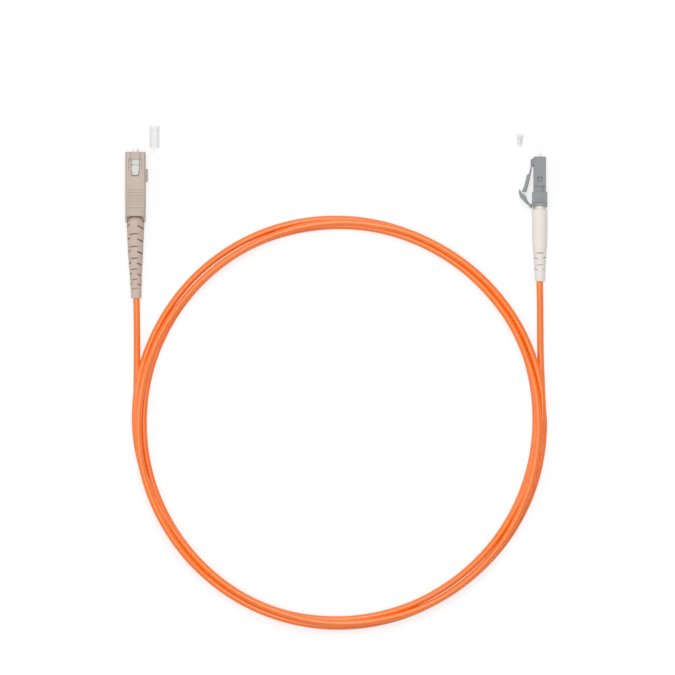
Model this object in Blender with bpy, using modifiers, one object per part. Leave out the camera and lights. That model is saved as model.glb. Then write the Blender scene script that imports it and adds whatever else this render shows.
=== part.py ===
"""Fibre optic patch cable, coiled, with a square push-pull plug and a small latch plug.

Metres, +Z up.  The cable lies in three and a half turns on the table.  Its two ends run
side by side out of the coil, each into a bend boot and a plug, and each plug's dust cap
has been pulled off and lies in front of it.

Each plug is modelled in a frame of its own, held by an empty: x runs across the plug,
y up from the table, and z back from the plug's front end along the cable.
"""
import math

import bmesh
import bpy
from mathutils import Matrix, Vector

# Clearances
TOUCH_GAP = 0.0003
SEAT_GAP = 0.0002
SLIP = 0.00015
REACH = 0.002

# Cable and coil
CABLE_DIAMETER = 0.0024
FIBRE_DIAMETER = 0.0009
COIL_RADIUS = 0.0730
COIL_BAND = 0.0072
COIL_HEIGHT = 0.0059
COIL_CHAMFER = 0.0012
COIL_X = 0.0013
COIL_Y = -0.0768
LEAD_HEIGHT = 0.0021
LEAD_EASE = 0.006
SC_STUB_OUT = 0.0012
LC_STUB_OUT = 0.0002
STUB_SHOWS = 0.0011

# Places of the plugs and of their caps
PLUG_SPACING = 0.1474
LC_SET_BACK = 0.0017
SC_CAP_AHEAD = 0.00967
SC_CAP_BESIDE = 0.0069
LC_CAP_AHEAD = 0.0080
LC_CAP_BESIDE = 0.00725

# Square plug: ferrule, flange, spring and their travel
SC_FERRULE_DIAMETER = 0.0025
SC_FERRULE_LENGTH = 0.0085
SC_FERRULE_OUT = 0.00135
SC_FERRULE_CHAMFER = 0.0003
SC_COLLAR_DIAMETER = 0.0043
SC_COLLAR_LENGTH = 0.0017
SC_TAIL_DIAMETER = 0.0022
SC_TAIL_LENGTH = 0.0043
SC_FERRULE_TRAVEL = 0.0010
SC_SPRING_WIRE = 0.0005
SC_SPRING_LENGTH = 0.0045
SC_SPRING_TURNS = 6

# Square plug: frame
SC_FRAME_SET_BACK = 0.0004
SC_WELL_DIAMETER = 0.0047
SC_WELL_DEPTH = 0.0048
SC_WEB = 0.0008
SC_CHAMBER_GAP = 0.00025
SC_FRAME_SIDE_WALL = 0.00045
SC_FRAME_FACE_WALL = 0.0005
SC_FRAME_CHAMFER = 0.0004
SC_PAD_WIDTH = 0.0030
SC_PAD_LENGTH = 0.0037
SC_PAD_FRONT = 0.0006
SC_LUG_LENGTH = 0.0036
SC_LUG_RECESS = 0.0004

# Square plug: sliding grip
SC_GRIP_SIDE_GAP = 0.00050
SC_GRIP_FACE_GAP = 0.0009
SC_GRIP_SIDE_WALL = 0.00035
SC_GRIP_FACE_WALL = 0.0007
SC_GRIP_LENGTH = 0.0259
SC_GRIP_END_ARC = 0.0027
SC_GRIP_CORNER = 0.0003
SC_GRIP_TRAVEL = 0.0020
SC_BRIDGE = 0.0025
SC_WINDOW_WIDTH = 0.0033
SC_WINDOW_END_WIDTH = 0.0024
SC_WINDOW_STRAIGHT = 0.0025
SC_WINDOW_END_GAP = 0.00035
SC_POCKET_WIDTH = 0.0050
SC_POCKET_END_WIDTH = 0.0029
SC_POCKET_STRAIGHT = 0.0040
SC_POCKET_DEPTH = 0.0004
SC_NOTCH_SPREAD = 0.00354
SC_NOTCH_WIDTH = 0.0003
SC_NOTCH_DEPTH = 0.00035
SC_KEY_WIDTH = 0.0020
SC_KEY_RISE = 0.00085
SC_KEY_FRONT = 0.0062
SC_KEY_LENGTH = 0.0047
SC_GROOVES = 6
SC_GROOVE_PITCH = 0.00104
SC_GROOVE_WIDTH = 0.00045
SC_GROOVE_DEPTH = 0.00025
SC_SIDE_GROOVE_DEPTH = 0.00012
SC_GROOVE_MARGIN = 0.00085
SC_STOP_GROOVE = 0.0013
SC_PANEL_LENGTH = 0.0024
SC_PANEL_LINE = 0.0002

# Square plug: stop ring, crimp sleeve and boot
SC_SPIGOT_LENGTH = 0.0023
SC_RING_LENGTH = 0.0018
SC_RING_MARGIN = 0.0002
SC_BARREL_DIAMETER = 0.0029
SC_BARREL_BORE = 0.0016
SC_BARREL_LENGTH = 0.0104
CRIMP_WALL = 0.0003
SC_CRIMP_LENGTH = 0.0079
SC_NECK_LENGTH = 0.0046
SC_BOOT_LAP = 0.0037
SC_BOOT_DOME = 0.0023
SC_BOOT_LENGTH = 0.0298
SC_BOOT_END_DIAMETER = 0.0037
SC_BOOT_TAPER = ((0.145, 0.89), (0.356, 0.78), (0.516, 0.61), (0.622, 0.52), (0.782, 0.22), (0.942, 0.06))
SC_SLOT_MARGIN = 0.0037
SC_SLOT_LEVELS = 12
SC_SLOT_CLOSING = 0.69
SC_SLOT_WIDTH = 0.00045
SC_SLOT_CORES = (0.57, 0.79)
SC_SLOT_TURN = 20
SLOT_TILT = 20
SLOT_FLOOR = 0.00015

# Square plug: dust cap
SC_CAP_LENGTH = 0.0080
SC_CAP_DIAMETER = 0.0035
SC_CAP_BEAD_DIAMETER = 0.0038
SC_CAP_BEAD = 0.0016
SC_CAP_END = 0.0010

# Latch plug: ferrule, flange, spring and their travel
LC_FERRULE_DIAMETER = 0.00125
LC_FERRULE_LENGTH = 0.00725
LC_FERRULE_OUT = 0.00225
LC_FERRULE_CHAMFER = 0.0002
LC_COLLAR_DIAMETER = 0.0025
LC_COLLAR_LENGTH = 0.0014
LC_TAIL_DIAMETER = 0.0015
LC_TAIL_BORE = 0.00114
LC_TAIL_LENGTH = 0.0036
LC_SPRING_WIRE = 0.0003
LC_SPRING_LENGTH = 0.0040
LC_SPRING_TURNS = 8

# Latch plug: housing and rear body
LC_HOUSING_WIDTH = 0.0045
LC_HOUSING_CHAMFER = 0.0002
LC_WELL_DIAMETER = 0.0027
LC_WELL_DEPTH = 0.0035
LC_WEB = 0.0006
LC_CHAMBER_GAP = 0.0002
LC_MARK_WIDTH = 0.00175
LC_MARK_FRONT = 0.0075
LC_MARK_LENGTH = 0.0009
LC_MARK_NECK = 0.0010
LC_MARK_NECK_LENGTH = 0.0008
LC_MARK_LINE = 0.0002
LC_MARK_DEPTH = 0.00015
LC_SPIGOT_LENGTH = 0.0008
LC_REAR_LENGTH = 0.0056
LC_REAR_LINE = 0.00106
LC_BARREL_DIAMETER = 0.0029
LC_BARREL_BORE = 0.0020
LC_BARREL_LENGTH = 0.0055
LC_CRIMP_LENGTH = 0.0050
LC_NECK_LENGTH = 0.0042

# Latch plug: latch with its root, and the trigger with its clip
LC_ROOT_RISE = 0.00111
LC_ROOT_FRONT = 0.00105
LC_ROOT_LENGTH = 0.00205
LC_LEVER_INSET = 0.00026
LC_LEVER_ANGLE = 14.6
LC_LEVER_WIDTH = 0.0028
LC_ARM_WIDTH = 0.0020
LC_ARM_LENGTH = 0.0036
LC_LEVER_OUTLINE = (
    (0.00015, 0.00009), (0.00304, 0.00008), (0.00382, 0.00076), (0.00539, 0.00056),
    (0.00854, 0.00065), (0.00978, 0.00093), (0.01010, 0.00069), (0.00992, -0.00062),
    (0.00937, -0.00074), (0.00800, -0.00083), (0.00491, -0.00071), (0.00223, -0.00062),
    (0.00054, -0.00040), (0.00015, -0.00038))
LC_CLIP_FRONT = 0.00195
LC_CLIP_LENGTH = 0.00575
LC_CLIP_SIDE_WALL = 0.00033
LC_CLIP_FACE_WALL = 0.0004
LC_CLIP_ARC = 0.0008
LC_HINGE_OUT = 0.0039
LC_HINGE_BACK = 0.00455
LC_TRIGGER_WIDTH = 0.0034
LC_TRIGGER_OUTLINE = (
    (0.000245, -0.000455), (-0.0004, -0.0010), (-0.00077, -0.00185), (-0.00097, -0.00273),
    (-0.00154, -0.00342), (-0.00241, -0.0040), (-0.00285, -0.0046), (-0.00329, -0.00532),
    (-0.00365, -0.00547), (-0.00373, -0.00474), (-0.0035, -0.0033), (-0.0030, -0.0023),
    (-0.00212, -0.00142), (-0.0007, 0.0), (-0.000455, 0.000245))
LC_STUB_OUTLINE = (
    (0.00122, -0.0001), (0.000455, -0.000245), (-0.000245, 0.000455), (0.00091, 0.00160),
    (0.00122, 0.00120))

# Latch plug: boot
LC_BOOT_LAP = 0.0050
LC_BOOT_NOSE = 0.00165
LC_BOOT_DOME = 0.0009
LC_BOOT_LENGTH = 0.0285
LC_BOOT_DIAMETER = 0.0056
LC_BOOT_END_DIAMETER = 0.0036
LC_BOOT_TAPER = (
    (0.252, 0.98), (0.426, 0.94), (0.538, 0.80), (0.615, 0.60), (0.70, 0.45), (0.788, 0.30), (0.904, 0.13))
LC_SLOTS = ((0.635, 90, 0.70), (0.695, 0, 0.45), (0.789, 90, 0.70), (0.839, 0, 0.45))
LC_SLOT_WIDTH = 0.0004
LC_SLOT_TURN = -10

# Latch plug: dust cap
LC_CAP_LENGTH = 0.0040
LC_CAP_DIAMETER = 0.00216
LC_CAP_END_DIAMETER = 0.0017
LC_CAP_RIM_DIAMETER = 0.0032
LC_CAP_RIM = 0.0006
LC_CAP_BORE = 0.0014

# Roundness
SIDES = 32
FINE_SIDES = 24
COIL_SIDES = 64
CABLE_SIDES = 8
ARC_STEPS = 10
LEAD_POINT_SPACING = 0.0058

# What the two plugs have in common
CABLE_RADIUS = CABLE_DIAMETER / 2
FIBRE_RADIUS = FIBRE_DIAMETER / 2
CABLE_BORE = CABLE_RADIUS + SLIP
NECK_RADIUS = CABLE_BORE + CRIMP_WALL

# Square plug, worked out from the ferrule outwards and from the front to the back
SC_COLLAR_FRONT = SC_FRAME_SET_BACK + SC_WELL_DEPTH + SC_WEB + SEAT_GAP
SC_COLLAR_BACK = SC_COLLAR_FRONT + SC_COLLAR_LENGTH
SC_SPRING_FRONT = SC_COLLAR_BACK + SEAT_GAP
SC_SPIGOT_FRONT = SC_SPRING_FRONT + SC_SPRING_LENGTH + SEAT_GAP
SC_RING_FRONT = SC_SPIGOT_FRONT + SC_SPIGOT_LENGTH
SC_FRAME_BACK = SC_RING_FRONT - SEAT_GAP
SC_BARREL_BACK = SC_RING_FRONT + SC_RING_LENGTH + SC_BARREL_LENGTH
SC_CHAMBER_RADIUS = SC_COLLAR_DIAMETER / 2 + SC_CHAMBER_GAP
SC_FRAME_X = SC_CHAMBER_RADIUS + SC_FRAME_SIDE_WALL
SC_FRAME_Y = SC_CHAMBER_RADIUS + SC_FRAME_FACE_WALL
SC_CAVITY_X = SC_FRAME_X + SC_GRIP_SIDE_GAP
SC_CAVITY_Y = SC_FRAME_Y + SC_GRIP_FACE_GAP
SC_GRIP_X = SC_CAVITY_X + SC_GRIP_SIDE_WALL
SC_GRIP_Y = SC_CAVITY_Y + SC_GRIP_FACE_WALL
SC_LUG_FRONT = SC_BRIDGE + SC_GRIP_TRAVEL + 2 * SEAT_GAP
SC_LUG_BACK = SC_LUG_FRONT + SC_LUG_LENGTH
SC_WINDOW_BACK = SC_LUG_BACK + SC_WINDOW_END_GAP
SC_BOOT_RADIUS = SC_CAVITY_X - SLIP
SC_BOOT_FRONT = SC_BARREL_BACK - SC_BOOT_LAP
SC_BOOT_BACK = SC_BOOT_FRONT + SC_BOOT_LENGTH
SC_CRIMP_BORE = SC_BARREL_DIAMETER / 2 + SLIP
SC_CRIMP_RADIUS = SC_CRIMP_BORE + CRIMP_WALL
SC_NECK_BACK = SC_BARREL_BACK + SC_NECK_LENGTH
SC_LEAD_START = SC_BARREL_BACK + TOUCH_GAP

# Latch plug, worked out from the front to the back
LC_HALF = LC_HOUSING_WIDTH / 2
LC_COLLAR_FRONT = LC_WELL_DEPTH + LC_WEB + SEAT_GAP
LC_COLLAR_BACK = LC_COLLAR_FRONT + LC_COLLAR_LENGTH
LC_SPRING_FRONT = LC_COLLAR_BACK + SEAT_GAP
LC_SPIGOT_FRONT = LC_SPRING_FRONT + LC_SPRING_LENGTH + SEAT_GAP
LC_REAR_FRONT = LC_SPIGOT_FRONT + LC_SPIGOT_LENGTH
LC_HOUSING_BACK = LC_REAR_FRONT - SEAT_GAP
LC_REAR_BACK = LC_REAR_FRONT + LC_REAR_LENGTH
LC_BARREL_BACK = LC_REAR_BACK + LC_BARREL_LENGTH
LC_CHAMBER_RADIUS = LC_COLLAR_DIAMETER / 2 + LC_CHAMBER_GAP
LC_CLIP_CAVITY = LC_HALF + SLIP
LC_CLIP_X = LC_CLIP_CAVITY + LC_CLIP_SIDE_WALL
LC_CLIP_Y = LC_CLIP_CAVITY + LC_CLIP_FACE_WALL
LC_CLIP_START = LC_REAR_FRONT + LC_CLIP_FRONT
LC_CLIP_BACK = LC_CLIP_START + LC_CLIP_LENGTH
LC_HINGE = (-LC_HINGE_OUT, LC_CLIP_START + LC_HINGE_BACK)
LC_LEVER_PIVOT = (-(LC_HALF + LC_ROOT_RISE - LC_LEVER_INSET), LC_ROOT_FRONT + LC_ROOT_LENGTH + SLIP)
LC_BOOT_RADIUS = LC_BOOT_DIAMETER / 2
LC_BOOT_FRONT = LC_BARREL_BACK - LC_BOOT_LAP
LC_BOOT_BACK = LC_BOOT_FRONT + LC_BOOT_LENGTH
LC_CRIMP_BORE = LC_BARREL_DIAMETER / 2 + SLIP
LC_CRIMP_RADIUS = LC_CRIMP_BORE + CRIMP_WALL
LC_NECK_BACK = LC_BARREL_BACK + LC_NECK_LENGTH
LC_LEAD_START = LC_BARREL_BACK + TOUCH_GAP

# Where the plugs stand: the part's origin is under the middle of plugs and caps
SC_AXIS_HEIGHT = max(SC_GRIP_Y, SC_BOOT_RADIUS)
LC_AXIS_HEIGHT = max(LC_CLIP_Y, LC_BOOT_RADIUS)
SC_X = -(PLUG_SPACING + max(LC_CLIP_X, LC_BOOT_RADIUS) - SC_GRIP_X) / 2
LC_X = SC_X + PLUG_SPACING
SC_Y = (SC_BOOT_BACK - SC_CAP_AHEAD) / 2
LC_Y = SC_Y - LC_SET_BACK

# Where each lead meets the coil
SC_STUB_X = COIL_X - COIL_RADIUS - SC_STUB_OUT
LC_STUB_X = COIL_X + COIL_RADIUS + LC_STUB_OUT


def clear_scene():
    """Take away what the file opened with."""
    for thing in list(bpy.data.objects):
        bpy.data.objects.remove(thing, do_unlink=True)


def new_collection(name):
    """Add a collection to the scene."""
    made = bpy.data.collections.new(name)
    bpy.context.scene.collection.children.link(made)
    return made


clear_scene()
PIECES = new_collection("fibre_patch_cable")
CUTTERS = new_collection("cutters")


def finish(name, colour, roughness, metallic=0.0, see_through=0.0):
    """A plain surface: one colour, with its roughness."""
    made = bpy.data.materials.new(name)
    made.use_nodes = True
    shader = made.node_tree.nodes["Principled BSDF"]
    shader.inputs["Base Color"].default_value = (*colour, 1)
    shader.inputs["Roughness"].default_value = roughness
    shader.inputs["Metallic"].default_value = metallic
    shader.inputs["Transmission Weight"].default_value = see_through
    return made


BEIGE_PLASTIC = finish("beige_plastic", (0.58, 0.47, 0.40), 0.45)
BEIGE_RUBBER = finish("beige_rubber", (0.60, 0.51, 0.45), 0.6)
WHITE_PLASTIC = finish("white_plastic", (0.66, 0.66, 0.64), 0.4)
GREY_PLASTIC = finish("grey_plastic", (0.28, 0.31, 0.33), 0.4)
WHITE_RUBBER = finish("white_rubber", (0.80, 0.76, 0.72), 0.6)
CLEAR_PLASTIC = finish("clear_plastic", (0.85, 0.85, 0.86), 0.3, see_through=0.6)
CERAMIC = finish("ceramic", (0.86, 0.86, 0.84), 0.2)
NICKEL = finish("nickel", (0.62, 0.60, 0.56), 0.3, metallic=1.0)
SPRING_STEEL = finish("spring_steel", (0.55, 0.55, 0.56), 0.3, metallic=1.0)
ORANGE_JACKET = finish("orange_jacket", (0.90, 0.16, 0.02), 0.4)
FIBRE_BUFFER = finish("fibre_buffer", (0.85, 0.83, 0.78), 0.4)


def plug_frame(name, x, y, height):
    """The empty that carries a plug: its z runs back along the cable, its y up."""
    made = bpy.data.objects.new(name, None)
    made.location = (x, y, height)
    made.rotation_euler = (math.pi / 2, 0, 0)
    made.empty_display_size = 0.005
    PIECES.objects.link(made)
    return made


def add(name, data, parent, material=None):
    """Put mesh or curve data in the scene, as a piece or, with no material, as a cutter."""
    made = bpy.data.objects.new(name, data)
    made.parent = parent
    if material is None:
        CUTTERS.objects.link(made)
        made.hide_render = True
        made.display_type = "WIRE"
    else:
        data.materials.append(material)
        PIECES.objects.link(made)
    return made


def mesh_from(build, name):
    """A mesh made by a function that fills a bmesh, its faces turned outwards."""
    shape = bmesh.new()
    build(shape)
    bmesh.ops.recalc_face_normals(shape, faces=shape.faces)
    mesh = bpy.data.meshes.new(name)
    shape.to_mesh(mesh)
    shape.free()
    return mesh


def blocks(name, boxes, parent, material=None, corner=0.0):
    """One or more boxes, each given as its x, y and z spans."""
    def build(shape):
        for spans in boxes:
            size = [high - low for low, high in spans]
            middle = [(high + low) / 2 for low, high in spans]
            place = Matrix.Translation(middle) @ Matrix.Diagonal((*size, 1))
            bmesh.ops.create_cube(shape, size=1, matrix=place)
    made = add(name, mesh_from(build, name), parent, material)
    if corner > 0:
        bevel(made, corner)
    return made


def turned(name, outside, bore, parent, material=None, sides=SIDES):
    """A turned piece.  Both lists hold (place along the axis, radius), front to back.

    An empty bore makes a solid piece, and a bore that starts on the axis is blind.
    """
    path = [(radius, along) for along, radius in bore]
    path += [(radius, along) for along, radius in reversed(outside)]
    if not bore:
        path.insert(0, (0, outside[-1][0]))
    if path[0][0] == 0:
        path.append((0, outside[0][0]))
    count = len(path)
    edges = [(i, i + 1) for i in range(count - 1)]
    if path[0][0] > 0:
        edges.append((count - 1, 0))
    mesh = bpy.data.meshes.new(name)
    mesh.from_pydata([(radius, 0, along) for radius, along in path], edges, [])
    made = add(name, mesh, parent, material)
    screw = made.modifiers.new("turned", "SCREW")
    screw.steps = sides
    screw.render_steps = sides
    screw.use_merge_vertices = True
    screw.merge_threshold = 1e-6
    return made


def plate(name, points, low, high, plane, parent, material=None):
    """A flat outline with a thickness from low to high.

    In the plane "xz" its points are (x, z) and it is thick along y; in "yz" they are (y, z)
    and it is thick along x.
    """
    curve = bpy.data.curves.new(name, "CURVE")
    curve.dimensions = "2D"
    curve.fill_mode = "BOTH"
    curve.extrude = (high - low) / 2
    spline = curve.splines.new("POLY")
    spline.points.add(len(points) - 1)
    for point, (across, along) in zip(spline.points, points):
        point.co = (across, along, 0, 1)
    spline.use_cyclic_u = True
    mesh = curve_mesh(name, curve)
    middle = (high + low) / 2
    if plane == "xz":
        mesh.transform(Matrix.Translation((0, middle, 0)) @ Matrix.Rotation(math.pi / 2, 4, "X"))
    else:
        turn = Matrix(((0, 0, 1, middle), (1, 0, 0, 0), (0, 1, 0, 0), (0, 0, 0, 1)))
        mesh.transform(turn)
    return add(name, mesh, parent, material)


def curve_mesh(name, curve):
    """The closed mesh of a curve, with its caps or faces welded to its sides."""
    holder = bpy.data.objects.new(name + "_curve", curve)
    bpy.context.scene.collection.objects.link(holder)
    seen = holder.evaluated_get(bpy.context.evaluated_depsgraph_get())
    mesh = bpy.data.meshes.new_from_object(seen)
    bpy.data.objects.remove(holder)
    shape = bmesh.new()
    shape.from_mesh(mesh)
    bmesh.ops.remove_doubles(shape, verts=shape.verts, dist=1e-6)
    bmesh.ops.dissolve_limit(shape, angle_limit=0.002, verts=shape.verts, edges=shape.edges)
    bmesh.ops.recalc_face_normals(shape, faces=shape.faces)
    shape.to_mesh(mesh)
    shape.free()
    mesh.name = name
    return mesh


def tube(name, points, radius, parent, material, bevel_resolution=2):
    """A round wire or cable through the points."""
    curve = bpy.data.curves.new(name, "CURVE")
    curve.dimensions = "3D"
    curve.bevel_depth = radius
    curve.bevel_resolution = bevel_resolution
    curve.use_fill_caps = True
    curve.render_resolution_u = 0
    spline = curve.splines.new("POLY")
    spline.points.add(len(points) - 1)
    for point, place in zip(spline.points, points):
        point.co = (*place, 1)
    spline.use_smooth = True
    return add(name, curve, parent, material)


def rod(name, start, end, radius, parent, material=None, sides=CABLE_SIDES):
    """A straight round rod between two points."""
    axis = Vector(end) - Vector(start)
    turn = Vector((0, 0, 1)).rotation_difference(axis).to_matrix().to_4x4()
    middle = Matrix.Translation((Vector(start) + Vector(end)) / 2)

    def build(shape):
        bmesh.ops.create_cone(shape, cap_ends=True, segments=sides, radius1=radius,
                              radius2=radius, depth=axis.length, matrix=middle @ turn)
    return add(name, mesh_from(build, name), parent, material)


def bevel(piece, width, segments=1):
    """Break a piece's sharp edges."""
    edge = piece.modifiers.new("broken_edges", "BEVEL")
    edge.width = width
    edge.segments = segments
    edge.limit_method = "ANGLE"


def combine(piece, others, operation):
    """Cut the others from the piece, or join them to it."""
    for other in others:
        step = piece.modifiers.new(operation.lower() + "_" + other.name, "BOOLEAN")
        step.operation = operation
        step.object = other


def cut(piece, *cutters):
    combine(piece, cutters, "DIFFERENCE")


def join(piece, *others):
    combine(piece, others, "UNION")


def arc_between(first, last, depth, steps=ARC_STEPS):
    """Points of a shallow arc over a chord: (across, rise), where rise is 0 at both ends."""
    half = abs(last - first) / 2
    radius = (half * half + depth * depth) / (2 * depth)
    made = []
    for i in range(steps + 1):
        across = first + (last - first) * i / steps
        offset = across - (first + last) / 2
        made.append((across, math.sqrt(max(radius * radius - offset * offset, 0)) - (radius - depth)))
    return made


def dome(start, length, small, large, steps=5):
    """The quarter round at a boot's front: (along, radius), rising steeply first."""
    made = []
    for i in range(steps + 1):
        share = (i / steps) ** 1.6
        rise = math.sqrt(1 - (1 - share) ** 2)
        made.append((start + length * share, small + (large - small) * rise))
    return made


def taper(start, end, large, small, shares):
    """A boot's body: (along, radius), from shares of its length and of its narrowing."""
    made = []
    for along, left in shares:
        made.append((start + (end - start) * along, small + (large - small) * left))
    made.append((end, small))
    return made


def radius_at(profile, along):
    """The radius of a profile at a place along the axis."""
    for (z0, r0), (z1, r1) in zip(profile, profile[1:]):
        if z0 <= along <= z1:
            return r0 + (r1 - r0) * (along - z0) / (z1 - z0)
    return profile[-1][1]


def boot_slots(name, profile, slots, width, turn, parent):
    """Slabs that cut a boot's slots: a pair from opposite sides at each level.

    Each slot is (place along the axis, side in degrees, core).  It leans, so that it runs
    deeper towards the cable, and stops at a flat at core times the boot's radius.
    """
    tilt = math.radians(SLOT_TILT)

    def build(shape):
        for along, quarter, core in slots:
            radius = radius_at(profile, along)
            deep = radius * (1 - core) / math.cos(tilt)
            length = deep + REACH / 2
            slab = Matrix.Diagonal((length, 2 * radius + REACH, width, 1))
            inward = Matrix.Translation((REACH / 2 - length / 2, 0, 0))
            for side in (0, 180):
                around = Matrix.Rotation(math.radians(quarter + turn + side), 4, "Z")
                surface = Matrix.Translation((radius, 0, along))
                lean = Matrix.Rotation(tilt, 4, "Y")
                bmesh.ops.create_cube(shape, size=1, matrix=around @ surface @ lean @ inward @ slab)
    return add(name, mesh_from(build, name), parent)


def slotted_boot(name, profile, bore, slots, width, turn, parent, material):
    """A bend boot: its slots stop at a thin wall that is left round the bore."""
    boot = turned(name, profile, [], parent, material)
    cut(boot, boot_slots(name + "_slots", profile, slots, width, turn, parent))
    first = slots[0][0] - 3 * width
    last = slots[-1][0] + 3 * width
    inside = [(first, radius_at(bore, first))]
    inside += [station for station in bore if first < station[0] < last]
    inside.append((last, radius_at(bore, last)))
    join(boot, turned(name + "_wall", [(along, radius + SLOT_FLOOR) for along, radius in inside],
                      [], parent))
    hole = [(bore[0][0] - REACH, bore[0][1])] + bore[1:-1] + [(bore[-1][0] + REACH, bore[-1][1])]
    cut(boot, turned(name + "_bore", hole, [], parent))
    return boot


def helix(start, end, radius, turns, steps=12):
    """Points of a coil spring's wire, from start to end along the axis."""
    made = []
    for i in range(turns * steps + 1):
        share = i / (turns * steps)
        angle = 2 * math.pi * turns * share
        made.append((radius * math.cos(angle), radius * math.sin(angle), start + (end - start) * share))
    return made


def smooth_route(points, spacing):
    """Points a spacing apart on a smooth curve through the route's points."""
    points = [Vector(point) for point in points]
    points = [2 * points[0] - points[1]] + points + [2 * points[-1] - points[-2]]
    dense = []
    for a, b, c, d in zip(points, points[1:], points[2:], points[3:]):
        for i in range(20):
            t = i / 20
            dense.append(0.5 * (2 * b + (c - a) * t + (2 * a - 5 * b + 4 * c - d) * t * t
                                + (3 * b - a - 3 * c + d) * t ** 3))
    dense.append(points[-2])
    lengths = [0.0]
    for before, after in zip(dense, dense[1:]):
        lengths.append(lengths[-1] + (after - before).length)
    count = max(2, round(lengths[-1] / spacing))
    made = []
    for i in range(count + 1):
        wanted = lengths[-1] * i / count
        j = max(k for k in range(len(lengths)) if lengths[k] <= wanted + 1e-12)
        if j == len(dense) - 1:
            made.append(dense[-1])
            continue
        share = (wanted - lengths[j]) / (lengths[j + 1] - lengths[j])
        made.append(dense[j].lerp(dense[j + 1], share))
    return made


# Square plug
SC = plug_frame("sc_connector", SC_X, SC_Y, SC_AXIS_HEIGHT)


def make_sc_ferrule():
    """Ceramic ferrule with a chamfered tip, in its nickel flange."""
    radius = SC_FERRULE_DIAMETER / 2
    tip = -SC_FERRULE_OUT
    back = tip + SC_FERRULE_LENGTH
    turned("sc_ferrule", [(tip, radius - SC_FERRULE_CHAMFER), (tip + SC_FERRULE_CHAMFER, radius),
                          (back, radius)], [], SC, CERAMIC, FINE_SIDES)
    collar = SC_COLLAR_DIAMETER / 2
    tail = SC_TAIL_DIAMETER / 2
    tail_back = SC_COLLAR_BACK + SC_TAIL_LENGTH
    socket = radius + SLIP
    socket_back = back + SEAT_GAP
    turned("sc_ferrule_flange",
           [(SC_COLLAR_FRONT, collar), (SC_COLLAR_BACK, collar), (SC_COLLAR_BACK, tail),
            (tail_back, tail)],
           [(SC_COLLAR_FRONT, socket), (socket_back, socket),
            (socket_back, FIBRE_RADIUS + SEAT_GAP), (tail_back, FIBRE_RADIUS + SEAT_GAP)],
           SC, NICKEL, FINE_SIDES)


def make_sc_spring():
    """Coil spring between the flange's collar and the stop ring."""
    wire = SC_SPRING_WIRE / 2
    mean = (SC_TAIL_DIAMETER / 2 + SC_CHAMBER_RADIUS) / 2
    start = SC_SPRING_FRONT + wire
    end = SC_SPRING_FRONT + SC_SPRING_LENGTH - wire
    tube("sc_spring", helix(start, end, mean, SC_SPRING_TURNS), wire, SC, SPRING_STEEL, 1)


def make_sc_plug_frame():
    """Pale inner frame: it holds the ferrule, and its lugs stand in the grip's windows."""
    frame = blocks("sc_plug_frame",
                   [((-SC_FRAME_X, SC_FRAME_X), (-SC_FRAME_Y, SC_FRAME_Y),
                     (SC_FRAME_SET_BACK, SC_FRAME_BACK))],
                   SC, WHITE_PLASTIC, SC_FRAME_CHAMFER)
    pad_y = SC_CAVITY_Y - SEAT_GAP
    pad_x = SC_PAD_WIDTH / 2
    pad_front = SC_FRAME_SET_BACK + SC_PAD_FRONT
    pads = blocks("sc_frame_pads",
                  [((-pad_x, pad_x), (-pad_y, pad_y), (pad_front, pad_front + SC_PAD_LENGTH))], SC)
    lug_y = SC_GRIP_Y - SC_LUG_RECESS
    front_x = SC_WINDOW_WIDTH / 2 - TOUCH_GAP
    back_x = SC_WINDOW_END_WIDTH / 2 - SEAT_GAP
    bend = SC_LUG_FRONT + SC_LUG_LENGTH * 0.45
    lugs = plate("sc_frame_lugs",
                 [(-front_x, SC_LUG_FRONT), (front_x, SC_LUG_FRONT), (front_x, bend),
                  (back_x, SC_LUG_BACK), (-back_x, SC_LUG_BACK), (-front_x, bend)],
                 -lug_y, lug_y, "xz", SC)
    join(frame, pads, lugs)
    well = SC_WELL_DIAMETER / 2
    web_front = SC_FRAME_SET_BACK + SC_WELL_DEPTH
    web_back = web_front + SC_WEB
    hole = SC_FERRULE_DIAMETER / 2 + SEAT_GAP
    bore = turned("sc_frame_bore",
                  [(SC_FRAME_SET_BACK - REACH, well), (web_front, well), (web_front, hole),
                   (web_back, hole), (web_back, SC_CHAMBER_RADIUS),
                   (SC_FRAME_BACK + REACH, SC_CHAMBER_RADIUS)], [], SC)
    cut(frame, bore)


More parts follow.
